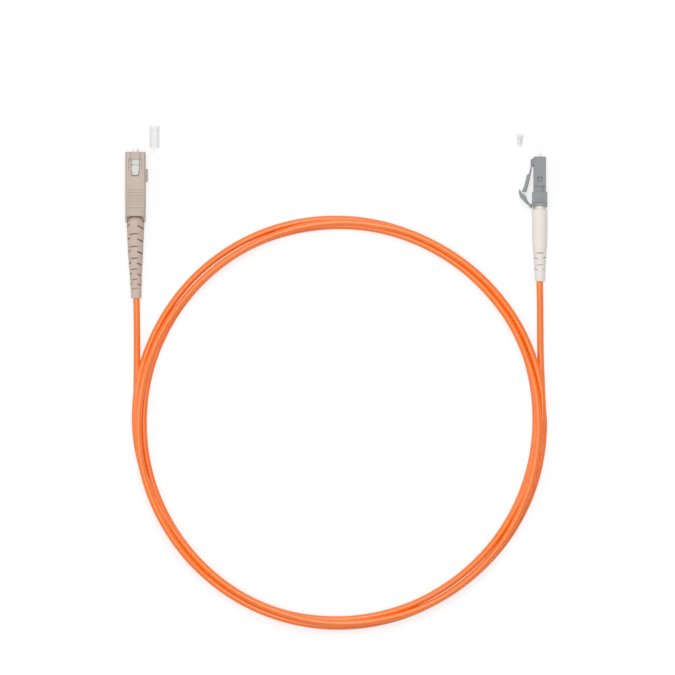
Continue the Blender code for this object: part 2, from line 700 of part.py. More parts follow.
def make_sc_grip():
    """Sliding outer grip: windows over the frame's lugs, a key on one side, finger grooves."""
    low_end = SC_GRIP_LENGTH - SC_GRIP_END_ARC
    side = [(-SC_GRIP_Y, 0), (SC_GRIP_Y, 0)]
    side += [(y, low_end + rise) for y, rise in arc_between(SC_GRIP_Y, -SC_GRIP_Y, SC_GRIP_END_ARC)]
    grip = plate("sc_grip", side, -SC_GRIP_X, SC_GRIP_X, "yz", SC, BEIGE_PLASTIC)
    bevel(grip, SC_GRIP_CORNER, 2)
    half_key = SC_KEY_WIDTH / 2
    key = blocks("sc_grip_key",
                 [((SC_GRIP_X - SC_GRIP_SIDE_WALL / 2, SC_GRIP_X + SC_KEY_RISE),
                   (-half_key, half_key), (SC_KEY_FRONT, SC_KEY_FRONT + SC_KEY_LENGTH))],
                 SC, None, SC_GRIP_CORNER / 2)
    join(grip, key)
    cavity = blocks("sc_grip_cavity",
                    [((-SC_CAVITY_X, SC_CAVITY_X), (-SC_CAVITY_Y, SC_CAVITY_Y),
                      (-REACH, SC_GRIP_LENGTH + REACH))], SC)
    far = SC_GRIP_Y + REACH
    window_x = SC_WINDOW_WIDTH / 2
    window_end = SC_WINDOW_END_WIDTH / 2
    straight = SC_BRIDGE + SC_WINDOW_STRAIGHT
    window = plate("sc_grip_window",
                   [(-window_x, SC_BRIDGE), (window_x, SC_BRIDGE), (window_x, straight),
                    (window_end, SC_WINDOW_BACK), (-window_end, SC_WINDOW_BACK),
                    (-window_x, straight)], -far, far, "xz", SC)
    cut(grip, cavity, window)
    pocket_x = SC_POCKET_WIDTH / 2
    pocket_end = SC_POCKET_END_WIDTH / 2
    pocket_bend = SC_BRIDGE + SC_POCKET_STRAIGHT
    pocket_back = SC_WINDOW_BACK + SEAT_GAP
    pocket = [(-pocket_x, SC_BRIDGE), (pocket_x, SC_BRIDGE), (pocket_x, pocket_bend),
              (pocket_end, pocket_back), (-pocket_end, pocket_back), (-pocket_x, pocket_bend)]
    floor = SC_GRIP_Y - SC_POCKET_DEPTH
    cut(grip,
        plate("sc_grip_pocket_top", pocket, floor, far, "xz", SC),
        plate("sc_grip_pocket_bottom", pocket, -far, -floor, "xz", SC))
    cut(grip, blocks("sc_grip_notches", sc_notch_boxes(far), SC))
    cut(grip, blocks("sc_grip_grooves", sc_groove_boxes(far), SC))


def sc_notch_boxes(far):
    """Two short grooves across the bridge in front of each window."""
    made = []
    for x in (-SC_NOTCH_SPREAD / 2, SC_NOTCH_SPREAD / 2):
        span = (x - SC_NOTCH_WIDTH / 2, x + SC_NOTCH_WIDTH / 2)
        floor = SC_GRIP_Y - SC_NOTCH_DEPTH
        for y in ((floor, far), (-far, -floor)):
            made.append((span, y, (-REACH, SC_BRIDGE - SEAT_GAP)))
    return made


def sc_groove_boxes(far):
    """Finger grooves on all four sides, one more that ends them, and a fine line down each edge."""
    end = SC_GRIP_LENGTH - SC_GRIP_END_ARC - SC_GRIP_CORNER
    stop = end - SC_PANEL_LENGTH
    stations = [stop]
    for i in range(SC_GROOVES):
        stations.append(stop - SC_STOP_GROOVE - i * SC_GROOVE_PITCH)
    floor = SC_GRIP_Y - SC_GROOVE_DEPTH
    wall = SC_GRIP_X - SC_SIDE_GROOVE_DEPTH
    half_x = SC_GRIP_X - SC_GROOVE_MARGIN
    half_y = SC_GRIP_Y - SC_GROOVE_MARGIN
    made = []
    for along in stations:
        span = (along - SC_GROOVE_WIDTH / 2, along + SC_GROOVE_WIDTH / 2)
        for y in ((floor, far), (-far, -floor)):
            made.append(((-half_x, half_x), y, span))
        for x in ((wall, wall + REACH), (-wall - REACH, -wall)):
            made.append((x, (-half_y, half_y), span))
    start = stop + SC_GROOVE_WIDTH
    for x in (-half_x, half_x - SC_PANEL_LINE):
        for y in ((floor, far), (-far, -floor)):
            made.append(((x, x + SC_PANEL_LINE), y, (start, end)))
    return made


def make_sc_stop_ring():
    """Metal ring that closes the frame and backs the spring; its barrel takes the crimp."""
    spigot = SC_CHAMBER_RADIUS - SLIP
    barrel = SC_BARREL_DIAMETER / 2
    bore = SC_BARREL_BORE / 2
    tail = SC_TAIL_DIAMETER / 2 + SEAT_GAP
    pocket_back = SC_COLLAR_BACK + SC_TAIL_LENGTH + SC_FERRULE_TRAVEL + 2 * SEAT_GAP
    ring_back = SC_RING_FRONT + SC_RING_LENGTH
    ring_x = SC_FRAME_X - SC_RING_MARGIN
    ring_y = SC_FRAME_Y - SC_RING_MARGIN
    ring = blocks("sc_stop_ring",
                  [((-ring_x, ring_x), (-ring_y, ring_y), (SC_RING_FRONT, ring_back))],
                  SC, NICKEL, SC_FRAME_CHAMFER)
    core = turned("sc_ring_core",
                  [(SC_SPIGOT_FRONT, spigot), (SC_RING_FRONT + SC_RING_LENGTH / 2, spigot),
                   (SC_RING_FRONT + SC_RING_LENGTH / 2, barrel), (SC_BARREL_BACK, barrel)],
                  [], SC)
    join(ring, core)
    cut(ring, turned("sc_ring_bore",
                     [(SC_SPIGOT_FRONT - REACH, tail), (pocket_back, tail), (pocket_back, bore),
                      (SC_BARREL_BACK + REACH, bore)], [], SC, None, FINE_SIDES))


def crimp_sleeve(name, front, barrel_back, neck_back, bore, radius, parent):
    """Crimped metal sleeve: wide over the barrel, narrow over the cable's jacket."""
    step = barrel_back + SLIP
    shoulder = step + 2 * CRIMP_WALL
    turned(name,
           [(front, radius), (step, radius), (shoulder, NECK_RADIUS), (neck_back, NECK_RADIUS)],
           [(front, bore), (step, bore), (step, CABLE_BORE), (neck_back, CABLE_BORE)],
           parent, NICKEL, FINE_SIDES)


def make_sc_boot():
    """Bend boot: a tapering sleeve, slotted in turn from the sides and from front and back."""
    wide = SC_CRIMP_RADIUS + SLIP
    neck = NECK_RADIUS + SLIP
    body = SC_BOOT_FRONT + SC_BOOT_DOME
    profile = dome(SC_BOOT_FRONT, SC_BOOT_DOME, wide + SLIP, SC_BOOT_RADIUS)
    profile += taper(body, SC_BOOT_BACK, SC_BOOT_RADIUS, SC_BOOT_END_DIAMETER / 2, SC_BOOT_TAPER)
    step = SC_BARREL_BACK + 3 * CRIMP_WALL
    end = SC_NECK_BACK + SEAT_GAP
    bore = [(SC_BOOT_FRONT, wide), (step, wide), (step + 2 * CRIMP_WALL, neck),
            (end, neck), (end + 2 * CRIMP_WALL, CABLE_BORE), (SC_BOOT_BACK, CABLE_BORE)]
    slots = []
    along = SC_BOOT_FRONT + SC_SLOT_MARGIN
    spaces = SC_SLOT_LEVELS - 1
    pitch = (SC_BOOT_LENGTH - 2 * SC_SLOT_MARGIN) / (spaces * (1 + SC_SLOT_CLOSING) / 2)
    for level in range(SC_SLOT_LEVELS):
        slots.append((along, 90 * (level % 2), SC_SLOT_CORES[level % 2]))
        along += pitch * (1 - (1 - SC_SLOT_CLOSING) * level / (spaces - 1))
    slotted_boot("sc_boot", profile, bore, slots, SC_SLOT_WIDTH, SC_SLOT_TURN, SC, BEIGE_RUBBER)


def lying_cap(name, x, y, contact_front, contact_back):
    """The empty that lays a cap down on two contacts, each (along, radius) on its outside."""
    tilt = math.atan((contact_front[1] - contact_back[1]) / (contact_back[0] - contact_front[0]))
    height = contact_front[1] * math.cos(tilt) + contact_front[0] * math.sin(tilt)
    made = plug_frame(name, x, y, height)
    made.rotation_euler = (math.pi / 2 + tilt, 0, 0)
    return made


def make_sc_dust_cap():
    """Soft dust cap for the thick ferrule, lying on the table with its open end to the plug."""
    bead = SC_CAP_BEAD_DIAMETER / 2
    body = SC_CAP_DIAMETER / 2
    bore = SC_FERRULE_DIAMETER / 2 + SLIP
    holder = lying_cap("sc_cap_frame", SC_X + SC_CAP_BESIDE, SC_Y + SC_CAP_AHEAD,
                       (SC_CAP_BEAD, bead), (SC_CAP_LENGTH, body))
    turned("sc_dust_cap",
           [(0, bead - SEAT_GAP), (SEAT_GAP, bead), (SC_CAP_BEAD, bead),
            (SC_CAP_BEAD + SEAT_GAP, body), (SC_CAP_LENGTH, body)],
           [(SC_CAP_END, 0), (SC_CAP_END, bore), (SC_CAP_LENGTH, bore)],
           holder, CLEAR_PLASTIC, FINE_SIDES)


# Latch plug
LC = plug_frame("lc_connector", LC_X, LC_Y, LC_AXIS_HEIGHT)


def make_lc_ferrule():
    """Thin ceramic ferrule in its flange."""
    radius = LC_FERRULE_DIAMETER / 2
    tip = -LC_FERRULE_OUT
    back = tip + LC_FERRULE_LENGTH
    turned("lc_ferrule", [(tip, radius - LC_FERRULE_CHAMFER), (tip + LC_FERRULE_CHAMFER, radius),
                          (back, radius)], [], LC, CERAMIC, FINE_SIDES)
    collar = LC_COLLAR_DIAMETER / 2
    tail = LC_TAIL_DIAMETER / 2
    tail_back = LC_COLLAR_BACK + LC_TAIL_LENGTH
    socket = radius + SLIP
    socket_back = back + SLIP
    bore = LC_TAIL_BORE / 2
    turned("lc_ferrule_flange",
           [(LC_COLLAR_FRONT, collar), (LC_COLLAR_BACK, collar), (LC_COLLAR_BACK, tail),
            (tail_back, tail)],
           [(LC_COLLAR_FRONT, socket), (socket_back, socket), (socket_back, bore),
            (tail_back, bore)], LC, NICKEL, FINE_SIDES)


def make_lc_spring():
    """Coil spring between the flange's collar and the rear body."""
    wire = LC_SPRING_WIRE / 2
    mean = (LC_TAIL_DIAMETER / 2 + LC_CHAMBER_RADIUS) / 2
    start = LC_SPRING_FRONT + wire
    end = LC_SPRING_FRONT + LC_SPRING_LENGTH - wire
    tube("lc_spring", helix(start, end, mean, LC_SPRING_TURNS), wire, LC, SPRING_STEEL, 1)


def make_lc_housing():
    """Square front housing, with the root of the latch on its left side."""
    housing = blocks("lc_housing",
                     [((-LC_HALF, LC_HALF), (-LC_HALF, LC_HALF), (0, LC_HOUSING_BACK))],
                     LC, GREY_PLASTIC, LC_HOUSING_CHAMFER)
    outer = LC_HALF + LC_ROOT_RISE
    back = LC_ROOT_FRONT + LC_ROOT_LENGTH
    root = plate("lc_latch_root",
                 [(-LC_HALF + SLIP, LC_ROOT_FRONT - LC_ROOT_RISE / 2), (-outer, LC_ROOT_FRONT),
                  (-outer, back), (-LC_HALF + SLIP, back)],
                 -LC_ARM_WIDTH / 2, LC_ARM_WIDTH / 2, "xz", LC)
    join(housing, root)
    well = LC_WELL_DIAMETER / 2
    hole = LC_FERRULE_DIAMETER / 2 + SEAT_GAP
    web_back = LC_WELL_DEPTH + LC_WEB
    cut(housing, turned("lc_housing_bore",
                        [(-REACH, well), (LC_WELL_DEPTH, well), (LC_WELL_DEPTH, hole),
                         (web_back, hole), (web_back, LC_CHAMBER_RADIUS),
                         (LC_HOUSING_BACK + REACH, LC_CHAMBER_RADIUS)], [], LC, None, FINE_SIDES))
    cut(housing, blocks("lc_housing_mark", lc_mark_boxes(), LC))


def lc_mark_boxes():
    """A fine outline like an n on the housing's top and bottom faces, narrower at its foot."""
    half = LC_MARK_WIDTH / 2
    neck = LC_MARK_NECK / 2
    bend = LC_MARK_FRONT + LC_MARK_LENGTH
    floor = LC_HALF - LC_MARK_DEPTH
    made = []
    for y in ((floor, LC_HALF + REACH), (-LC_HALF - REACH, -floor)):
        made.append(((-half, half), y, (LC_MARK_FRONT, LC_MARK_FRONT + LC_MARK_LINE)))
        for x in (-half, half - LC_MARK_LINE):
            made.append(((x, x + LC_MARK_LINE), y, (LC_MARK_FRONT + LC_MARK_LINE + TOUCH_GAP, bend)))
        for x in (-neck, neck - LC_MARK_LINE):
            made.append(((x, x + LC_MARK_LINE), y,
                         (bend + TOUCH_GAP, bend + TOUCH_GAP + LC_MARK_NECK_LENGTH)))
    return made


def make_lc_rear_body():
    """Rear body: its spigot backs the spring, its barrel takes the crimp sleeve."""
    spigot = LC_CHAMBER_RADIUS - SLIP
    barrel = LC_BARREL_DIAMETER / 2
    body = blocks("lc_rear_body",
                  [((-LC_HALF, LC_HALF), (-LC_HALF, LC_HALF), (LC_REAR_FRONT, LC_REAR_BACK))],
                  LC, GREY_PLASTIC, LC_HOUSING_CHAMFER)
    middle = (LC_REAR_FRONT + LC_REAR_BACK) / 2
    core = turned("lc_rear_core",
                  [(LC_SPIGOT_FRONT, spigot), (middle, spigot), (middle, barrel),
                   (LC_BARREL_BACK, barrel)], [], LC, None, FINE_SIDES)
    join(body, core)
    bore = LC_BARREL_BORE / 2
    cut(body, turned("lc_rear_bore",
                     [(LC_SPIGOT_FRONT - REACH, bore), (LC_BARREL_BACK + REACH, bore)],
                     [], LC, None, FINE_SIDES))
    line = (LC_REAR_LINE, LC_REAR_LINE + LC_MARK_LINE)
    floor = LC_HALF - LC_MARK_DEPTH
    span = (LC_REAR_FRONT + LC_HOUSING_CHAMFER, LC_CLIP_START - TOUCH_GAP)
    cut(body, blocks("lc_rear_line", [(line, (floor, LC_HALF + REACH), span),
                                      (line, (-LC_HALF - REACH, -floor), span)], LC))


def make_lc_trigger_clip():
    """Clip over the rear body, with an arched back edge and the root of the trigger."""
    clip = blocks("lc_trigger_clip",
                  [((-LC_CLIP_X, LC_CLIP_X), (-LC_CLIP_Y, LC_CLIP_Y),
                    (LC_CLIP_START, LC_CLIP_BACK))], LC, GREY_PLASTIC, LC_HOUSING_CHAMFER)
    half = LC_TRIGGER_WIDTH / 2
    stub = plate("lc_trigger_root", [(x + LC_HINGE[0], z + LC_HINGE[1]) for x, z in LC_STUB_OUTLINE],
                 -half, half, "xz", LC)
    join(clip, stub)
    cavity = blocks("lc_clip_cavity",
                    [((-LC_CLIP_CAVITY, LC_CLIP_CAVITY), (-LC_CLIP_CAVITY, LC_CLIP_CAVITY),
                      (LC_CLIP_START - REACH, LC_CLIP_BACK + REACH))], LC)
    arch = [(x, LC_CLIP_BACK - rise) for x, rise in arc_between(LC_CLIP_X, -LC_CLIP_X, LC_CLIP_ARC)]
    arch += [(-LC_CLIP_X, LC_CLIP_BACK + REACH), (LC_CLIP_X, LC_CLIP_BACK + REACH)]
    far = LC_CLIP_Y + REACH
    cut(clip, cavity, plate("lc_clip_arch", arch, -far, far, "xz", LC))


def hinge_frame(name, place):
    """An empty on a hinge's line, in the latch plug's frame."""
    made = bpy.data.objects.new(name, None)
    made.parent = LC
    made.location = (place[0], 0, place[1])
    made.empty_display_size = 0.002
    PIECES.objects.link(made)
    return made


def make_lc_latch_lever():
    """Latch: a thin arm from the root, two shoulders that catch, and a tip to press."""
    pivot = hinge_frame("lc_latch_hinge", LC_LEVER_PIVOT)
    lean = math.radians(LC_LEVER_ANGLE)
    points = []
    for along, out in LC_LEVER_OUTLINE:
        points.append((-along * math.sin(lean) - out * math.cos(lean),
                       along * math.cos(lean) - out * math.sin(lean)))
    half = LC_LEVER_WIDTH / 2
    lever = plate("lc_latch_lever", points, -half, half, "xz", pivot, GREY_PLASTIC)
    reach = half + REACH
    beside = (LC_ARM_WIDTH / 2, reach)
    below = (-reach, -LC_ARM_WIDTH / 2)
    boxes = [((-LC_ARM_LENGTH, LC_ARM_LENGTH), span, (-REACH, LC_ARM_LENGTH))
             for span in (beside, below)]
    trim = blocks("lc_lever_trim", boxes, pivot)
    cut(lever, trim)


def make_lc_trigger():
    """Trigger: a curved tab over the latch's tip, hinged by its own thin root."""
    pivot = hinge_frame("lc_trigger_hinge", LC_HINGE)
    half = LC_TRIGGER_WIDTH / 2
    trigger = plate("lc_trigger", LC_TRIGGER_OUTLINE, -half, half, "xz", pivot, GREY_PLASTIC)
    trigger.data.shade_smooth()
    trigger.data.set_sharp_from_angle(angle=math.radians(40))


def make_lc_boot():
    """Smooth bend boot with four short slots where it narrows."""
    wide = LC_CRIMP_RADIUS + SLIP
    nose = LC_CLIP_CAVITY - SLIP
    body = LC_BOOT_FRONT + LC_BOOT_NOSE
    profile = [(LC_BOOT_FRONT, wide + SLIP)]
    profile += dome(body, LC_BOOT_DOME, nose, LC_BOOT_RADIUS, 4)
    profile += taper(body + LC_BOOT_DOME, LC_BOOT_BACK, LC_BOOT_RADIUS, LC_BOOT_END_DIAMETER / 2,
                     LC_BOOT_TAPER)
    end = LC_NECK_BACK + SEAT_GAP
    bore = [(LC_BOOT_FRONT, wide), (end, wide), (end + 2 * CRIMP_WALL, CABLE_BORE),
            (LC_BOOT_BACK, CABLE_BORE)]
    slots = [(LC_BOOT_FRONT + share * LC_BOOT_LENGTH, quarter, core)
             for share, quarter, core in LC_SLOTS]
    slotted_boot("lc_boot", profile, bore, slots, LC_SLOT_WIDTH, LC_SLOT_TURN, LC, WHITE_RUBBER)


def make_lc_dust_cap():
    """Small dust cap for the thin ferrule, lying on its rim and its open end."""
    rim = LC_CAP_RIM_DIAMETER / 2
    body = LC_CAP_DIAMETER / 2
    end = LC_CAP_END_DIAMETER / 2
    bore = LC_CAP_BORE / 2
    holder = lying_cap("lc_cap_frame", LC_X - LC_CAP_BESIDE, LC_Y + LC_CAP_AHEAD,
                       (LC_CAP_RIM, rim), (LC_CAP_LENGTH, end))
    turned("lc_dust_cap",
           [(0, rim), (LC_CAP_RIM, rim), (LC_CAP_RIM, body), (LC_CAP_LENGTH, end)],
           [(LC_CAP_RIM, 0), (LC_CAP_RIM, bore), (LC_CAP_LENGTH, bore)],
           holder, CLEAR_PLASTIC, FINE_SIDES)


def make_fibres():
    """Buffered fibre inside each plug, from inside the flange to the end of the barrel."""
    start = SC_COLLAR_BACK + SC_COLLAR_LENGTH / 2
    rod("sc_fibre", (0, 0, start), (0, 0, SC_BARREL_BACK), FIBRE_RADIUS, SC, FIBRE_BUFFER)
    start = LC_COLLAR_BACK + LC_COLLAR_LENGTH / 2
    rod("lc_fibre", (0, 0, start), (0, 0, LC_BARREL_BACK), FIBRE_RADIUS, LC, FIBRE_BUFFER)


def make_cable():
    """The coil as one turned ring with two straight stubs, and the lead to each plug."""
    middle = bpy.data.objects.new("coil_middle", None)
    middle.location = (COIL_X, COIL_Y, 0)
    PIECES.objects.link(middle)
    inner = COIL_RADIUS - COIL_BAND / 2
    outer = COIL_RADIUS + COIL_BAND / 2
    low = COIL_CHAMFER
    high = COIL_HEIGHT - COIL_CHAMFER
    ring = turned("cable_coil",
                  [(0, outer - COIL_CHAMFER), (low, outer), (high, outer),
                   (COIL_HEIGHT, outer - COIL_CHAMFER), (COIL_HEIGHT, inner + COIL_CHAMFER)],
                  [(0, inner + COIL_CHAMFER), (low, inner), (high, inner)],
                  middle, ORANGE_JACKET, COIL_SIDES)
    stubs = []
    ends = []
    for name, x in (("sc_stub", SC_STUB_X), ("lc_stub", LC_STUB_X)):
        across = abs(x - COIL_X)
        top = COIL_Y + math.sqrt(outer ** 2 - (across - CABLE_RADIUS) ** 2) + STUB_SHOWS
        bottom = COIL_Y + math.sqrt(outer ** 2 - (across + CABLE_RADIUS) ** 2)
        stubs.append(rod(name, (x, top, LEAD_HEIGHT), (x, bottom, LEAD_HEIGHT), CABLE_RADIUS, None))
        ends.append(top + TOUCH_GAP)
    join(ring, *stubs)

    sc_end, lc_end = ends
    sc_route = [(SC_X, SC_Y - SC_LEAD_START, SC_AXIS_HEIGHT),
                (SC_X, SC_Y - SC_NECK_BACK, SC_AXIS_HEIGHT),
                (SC_X, SC_Y - SC_BOOT_BACK, SC_AXIS_HEIGHT),
                (SC_X, SC_Y - SC_BOOT_BACK - LEAD_EASE, SC_AXIS_HEIGHT),
                (SC_STUB_X, sc_end + LEAD_EASE, LEAD_HEIGHT),
                (SC_STUB_X, sc_end, LEAD_HEIGHT)]
    tube("sc_lead", smooth_route(sc_route, LEAD_POINT_SPACING), CABLE_RADIUS, None, ORANGE_JACKET)
    lc_route = [(LC_X, LC_Y - LC_LEAD_START, LC_AXIS_HEIGHT),
                (LC_X, LC_Y - LC_NECK_BACK, LC_AXIS_HEIGHT),
                (LC_X, LC_Y - LC_BOOT_BACK, LC_AXIS_HEIGHT),
                (LC_X, LC_Y - LC_BOOT_BACK - LEAD_EASE, LC_AXIS_HEIGHT),
                (LC_STUB_X, lc_end + LEAD_EASE, LEAD_HEIGHT),
                (LC_STUB_X, lc_end, LEAD_HEIGHT)]
    tube("lc_lead", smooth_route(lc_route, LEAD_POINT_SPACING), CABLE_RADIUS, None, ORANGE_JACKET)


def main():
    make_sc_ferrule()
    make_sc_spring()
    make_sc_plug_frame()
    make_sc_grip()
    make_sc_stop_ring()
    crimp_sleeve("sc_crimp_sleeve", SC_BARREL_BACK - SC_CRIMP_LENGTH, SC_BARREL_BACK,
                 SC_NECK_BACK, SC_CRIMP_BORE, SC_CRIMP_RADIUS, SC)
    make_sc_boot()
    make_sc_dust_cap()
    make_lc_ferrule()
    make_lc_spring()
    make_lc_housing()
    make_lc_rear_body()
    make_lc_trigger_clip()
    make_lc_latch_lever()
    make_lc_trigger()
    crimp_sleeve("lc_crimp_sleeve", LC_BARREL_BACK - LC_CRIMP_LENGTH, LC_BARREL_BACK,
                 LC_NECK_BACK, LC_CRIMP_BORE, LC_CRIMP_RADIUS, LC)
    make_lc_boot()
    make_lc_dust_cap()
    make_fibres()
    make_cable()


main()
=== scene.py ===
import math

import bpy
from mathutils import Matrix, Vector


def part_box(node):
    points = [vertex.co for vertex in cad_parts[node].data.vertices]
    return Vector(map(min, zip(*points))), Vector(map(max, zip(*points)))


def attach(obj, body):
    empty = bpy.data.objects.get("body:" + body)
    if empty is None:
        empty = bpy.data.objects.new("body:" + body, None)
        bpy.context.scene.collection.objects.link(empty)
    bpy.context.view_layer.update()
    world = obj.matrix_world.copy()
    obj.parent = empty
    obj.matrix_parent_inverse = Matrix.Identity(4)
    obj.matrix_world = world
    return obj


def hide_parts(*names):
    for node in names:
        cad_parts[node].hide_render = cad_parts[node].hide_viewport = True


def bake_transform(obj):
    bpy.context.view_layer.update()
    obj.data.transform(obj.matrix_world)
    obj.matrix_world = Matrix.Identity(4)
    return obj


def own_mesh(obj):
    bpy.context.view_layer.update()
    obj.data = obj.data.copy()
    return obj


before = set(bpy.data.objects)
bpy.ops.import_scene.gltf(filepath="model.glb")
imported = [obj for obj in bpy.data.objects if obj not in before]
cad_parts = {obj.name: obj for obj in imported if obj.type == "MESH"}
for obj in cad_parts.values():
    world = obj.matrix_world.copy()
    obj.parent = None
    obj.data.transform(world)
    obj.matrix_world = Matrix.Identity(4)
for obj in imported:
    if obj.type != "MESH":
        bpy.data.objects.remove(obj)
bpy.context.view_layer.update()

# The view: the photograph looks straight down on the table through a long lens. Its scale is
# 2740 pixels to the metre, and the middle of the picture lies between the plugs and the coil.
PHOTO_WIDTH = 675
PIXELS_PER_METRE = 2740
CAMERA_HEIGHT = 5.0
bpy.ops.object.camera_add(location=(0.0004, -0.0458, CAMERA_HEIGHT), rotation=(0, 0, 0))
camera = bpy.context.object
camera.data.lens = camera.data.sensor_width * CAMERA_HEIGHT * PIXELS_PER_METRE / PHOTO_WIDTH
camera.data.clip_start = 0.1
camera.data.clip_end = 20
bpy.context.scene.camera = camera
bpy.context.scene.view_settings.view_transform = "Standard"


class Socket:
    """One value of a material. Sums written on it add the Math nodes that work them out."""

    def __init__(self, finish, output):
        self.finish = finish
        self.output = output

    def math(self, operation, *others):
        sums = dict(enumerate((self, *others)))
        return self.finish.add("ShaderNodeMath", {"operation": operation}, sums)

    def __add__(self, other):
        return self.math("ADD", other)

    def __mul__(self, other):
        return self.math("MULTIPLY", other)

    __radd__ = __add__
    __rmul__ = __mul__


class Finish:
    """One material while it is made: its nodes, and the shader that they feed."""

    def __init__(self, name):
        self.material = bpy.data.materials.new(name)
        self.material.use_nodes = True
        self.tree = self.material.node_tree
        self.shader = self.tree.nodes["Principled BSDF"]
        self.place = self.add("ShaderNodeTexCoord", output="Object")

    def add(self, kind, settings=None, inputs=None, output=0):
        """A node with its settings and the values or links of its sockets."""
        node = self.tree.nodes.new(kind)
        for setting, value in (settings or {}).items():
            setattr(node, setting, value)
        for place, value in (inputs or {}).items():
            self.feed(node.inputs[place], value)
        return Socket(self, node.outputs[output])

    def feed(self, socket, value):
        """Link a value to a socket, or set it there."""
        if isinstance(value, Socket):
            self.tree.links.new(value.output, socket)
        elif isinstance(value, tuple) and socket.type == "RGBA":
            socket.default_value = (*value, 1)
        else:
            socket.default_value = value

    def set(self, **inputs):
        """Set or link the shader's own sockets, such as Base_Color or Roughness."""
        for name, value in inputs.items():
            self.feed(self.shader.inputs[name.replace("_", " ")], value)

    def noise(self, scale, detail=3, stretch=(1, 1, 1)):
        """Noise from 0 to 1 in the piece's own place, its grains 1 / scale metres wide."""
        place = self.add("ShaderNodeMapping", inputs={"Vector": self.place, "Scale": stretch})
        return self.add("ShaderNodeTexNoise",
                        inputs={"Vector": place, "Scale": scale, "Detail": detail})

    def between(self, share, first, second):
        """A colour from first to second by share."""
        return self.add("ShaderNodeMix", {"data_type": "RGBA"}, {0: share, 6: first, 7: second}, 2)

    def bump(self, height, depth):
        """Bend the surface's shading by a height, in metres when it is 1."""
        made = self.add("ShaderNodeBump",
                        inputs={"Height": height, "Distance": depth, "Strength": 1})
        self.set(Normal=made)


# The table: a seamless pale sheet. What the camera sees of it is nearly white, as in the
# photograph, and the soft shadows of the plugs and of the cable stay on it.
TABLE_SIZE = 6
TABLE_GAP = 0.00005           # the sheet lies this far under the pieces
bpy.ops.mesh.primitive_plane_add(size=TABLE_SIZE, location=(0, 0, -TABLE_GAP))
table = bpy.context.object
table.name = "table"
sheet = Finish("white_table")
sheet.set(Base_Color=(0.88, 0.88, 0.88), Roughness=0.9, Specular_IOR_Level=0.2)
from_camera = sheet.add("ShaderNodeLightPath", output="Is Camera Ray")
from_mirror = sheet.add("ShaderNodeLightPath", output="Is Glossy Ray")
through_cap = sheet.add("ShaderNodeLightPath", output="Is Transmission Ray")
glow = sheet.add("ShaderNodeEmission", inputs={"Strength": 0.62})
dim = sheet.add("ShaderNodeBsdfDiffuse", inputs={"Color": (0.40, 0.40, 0.41)})
both = sheet.add("ShaderNodeAddShader", inputs={0: glow, 1: dim})
seen = sheet.add("ShaderNodeMixShader", inputs={
    0: from_camera.math("MAXIMUM", from_mirror).math("MAXIMUM", through_cap),
    1: Socket(sheet, sheet.shader.outputs[0]), 2: both})
sheet.feed(sheet.tree.nodes["Material Output"].inputs["Surface"], seen)
table.data.materials.append(sheet.material)

# The light: a pale room with a plain backdrop, a long soft lamp that runs from overhead to the
# far side and draws the bright line on the cable, and one to the left, which leaves faint
# shadows to the right.
world = bpy.data.worlds.new("pale_room")
world.use_nodes = True
bpy.context.scene.world = world
nodes, links = world.node_tree.nodes, world.node_tree.links
room = nodes["Background"]
room.inputs["Color"].default_value = (0.97, 0.98, 1.0, 1)
room.inputs["Strength"].default_value = 0.46
backdrop = nodes.new("ShaderNodeBackground")
backdrop.inputs["Strength"].default_value = 1.0
room_rays = nodes.new("ShaderNodeLightPath")
room_mix = nodes.new("ShaderNodeMixShader")
links.new(room_rays.outputs["Is Camera Ray"], room_mix.inputs[0])
links.new(room.outputs[0], room_mix.inputs[1])
links.new(backdrop.outputs[0], room_mix.inputs[2])
links.new(room_mix.outputs[0], nodes["World Output"].inputs["Surface"])
LAMP_AIM = Vector((0, -0.05, 0))


def add_lamp(name, place, sizes, power, colour):
    """A soft lamp of two sizes that faces the middle of the object."""
    bpy.ops.object.light_add(type="AREA", location=place)
    lamp = bpy.context.object
    lamp.name = name
    lamp.data.shape = "RECTANGLE"
    lamp.data.size, lamp.data.size_y = sizes
    lamp.data.energy = power
    lamp.data.color = colour
    lamp.rotation_euler = (LAMP_AIM - Vector(place)).to_track_quat("-Z", "Y").to_euler()


add_lamp("long_lamp", (0.0, 0.42, 1.65), (0.7, 2.4), 21, (1.0, 0.985, 0.97))
add_lamp("side_lamp", (-1.1, 0.1, 1.2), (0.6, 0.6), 4.0, (1.0, 0.98, 0.95))

# The cable: one length of round orange jacket, 2.4 mm thick, from the crimp in one plug to
# the crimp in the other. It goes three and a half times round, its turns crossing over and
# under each other on the way, and a lead runs off to each plug.
CABLE_THICKNESS = 0.0024
TURN_DEGREES = 360
TURN_STEP = 5
LAID = 0.0012                 # the middle of a strand that lies on the table
COIL_MIDDLE = (0.00147, -0.07694)
sc_across = (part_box("sc_ferrule")[0][0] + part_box("sc_ferrule")[1][0]) / 2
sc_up = (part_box("sc_ferrule")[0][2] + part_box("sc_ferrule")[1][2]) / 2
lc_across = (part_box("lc_ferrule")[0][0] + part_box("lc_ferrule")[1][0]) / 2
lc_up = (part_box("lc_ferrule")[0][2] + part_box("lc_ferrule")[1][2]) / 2

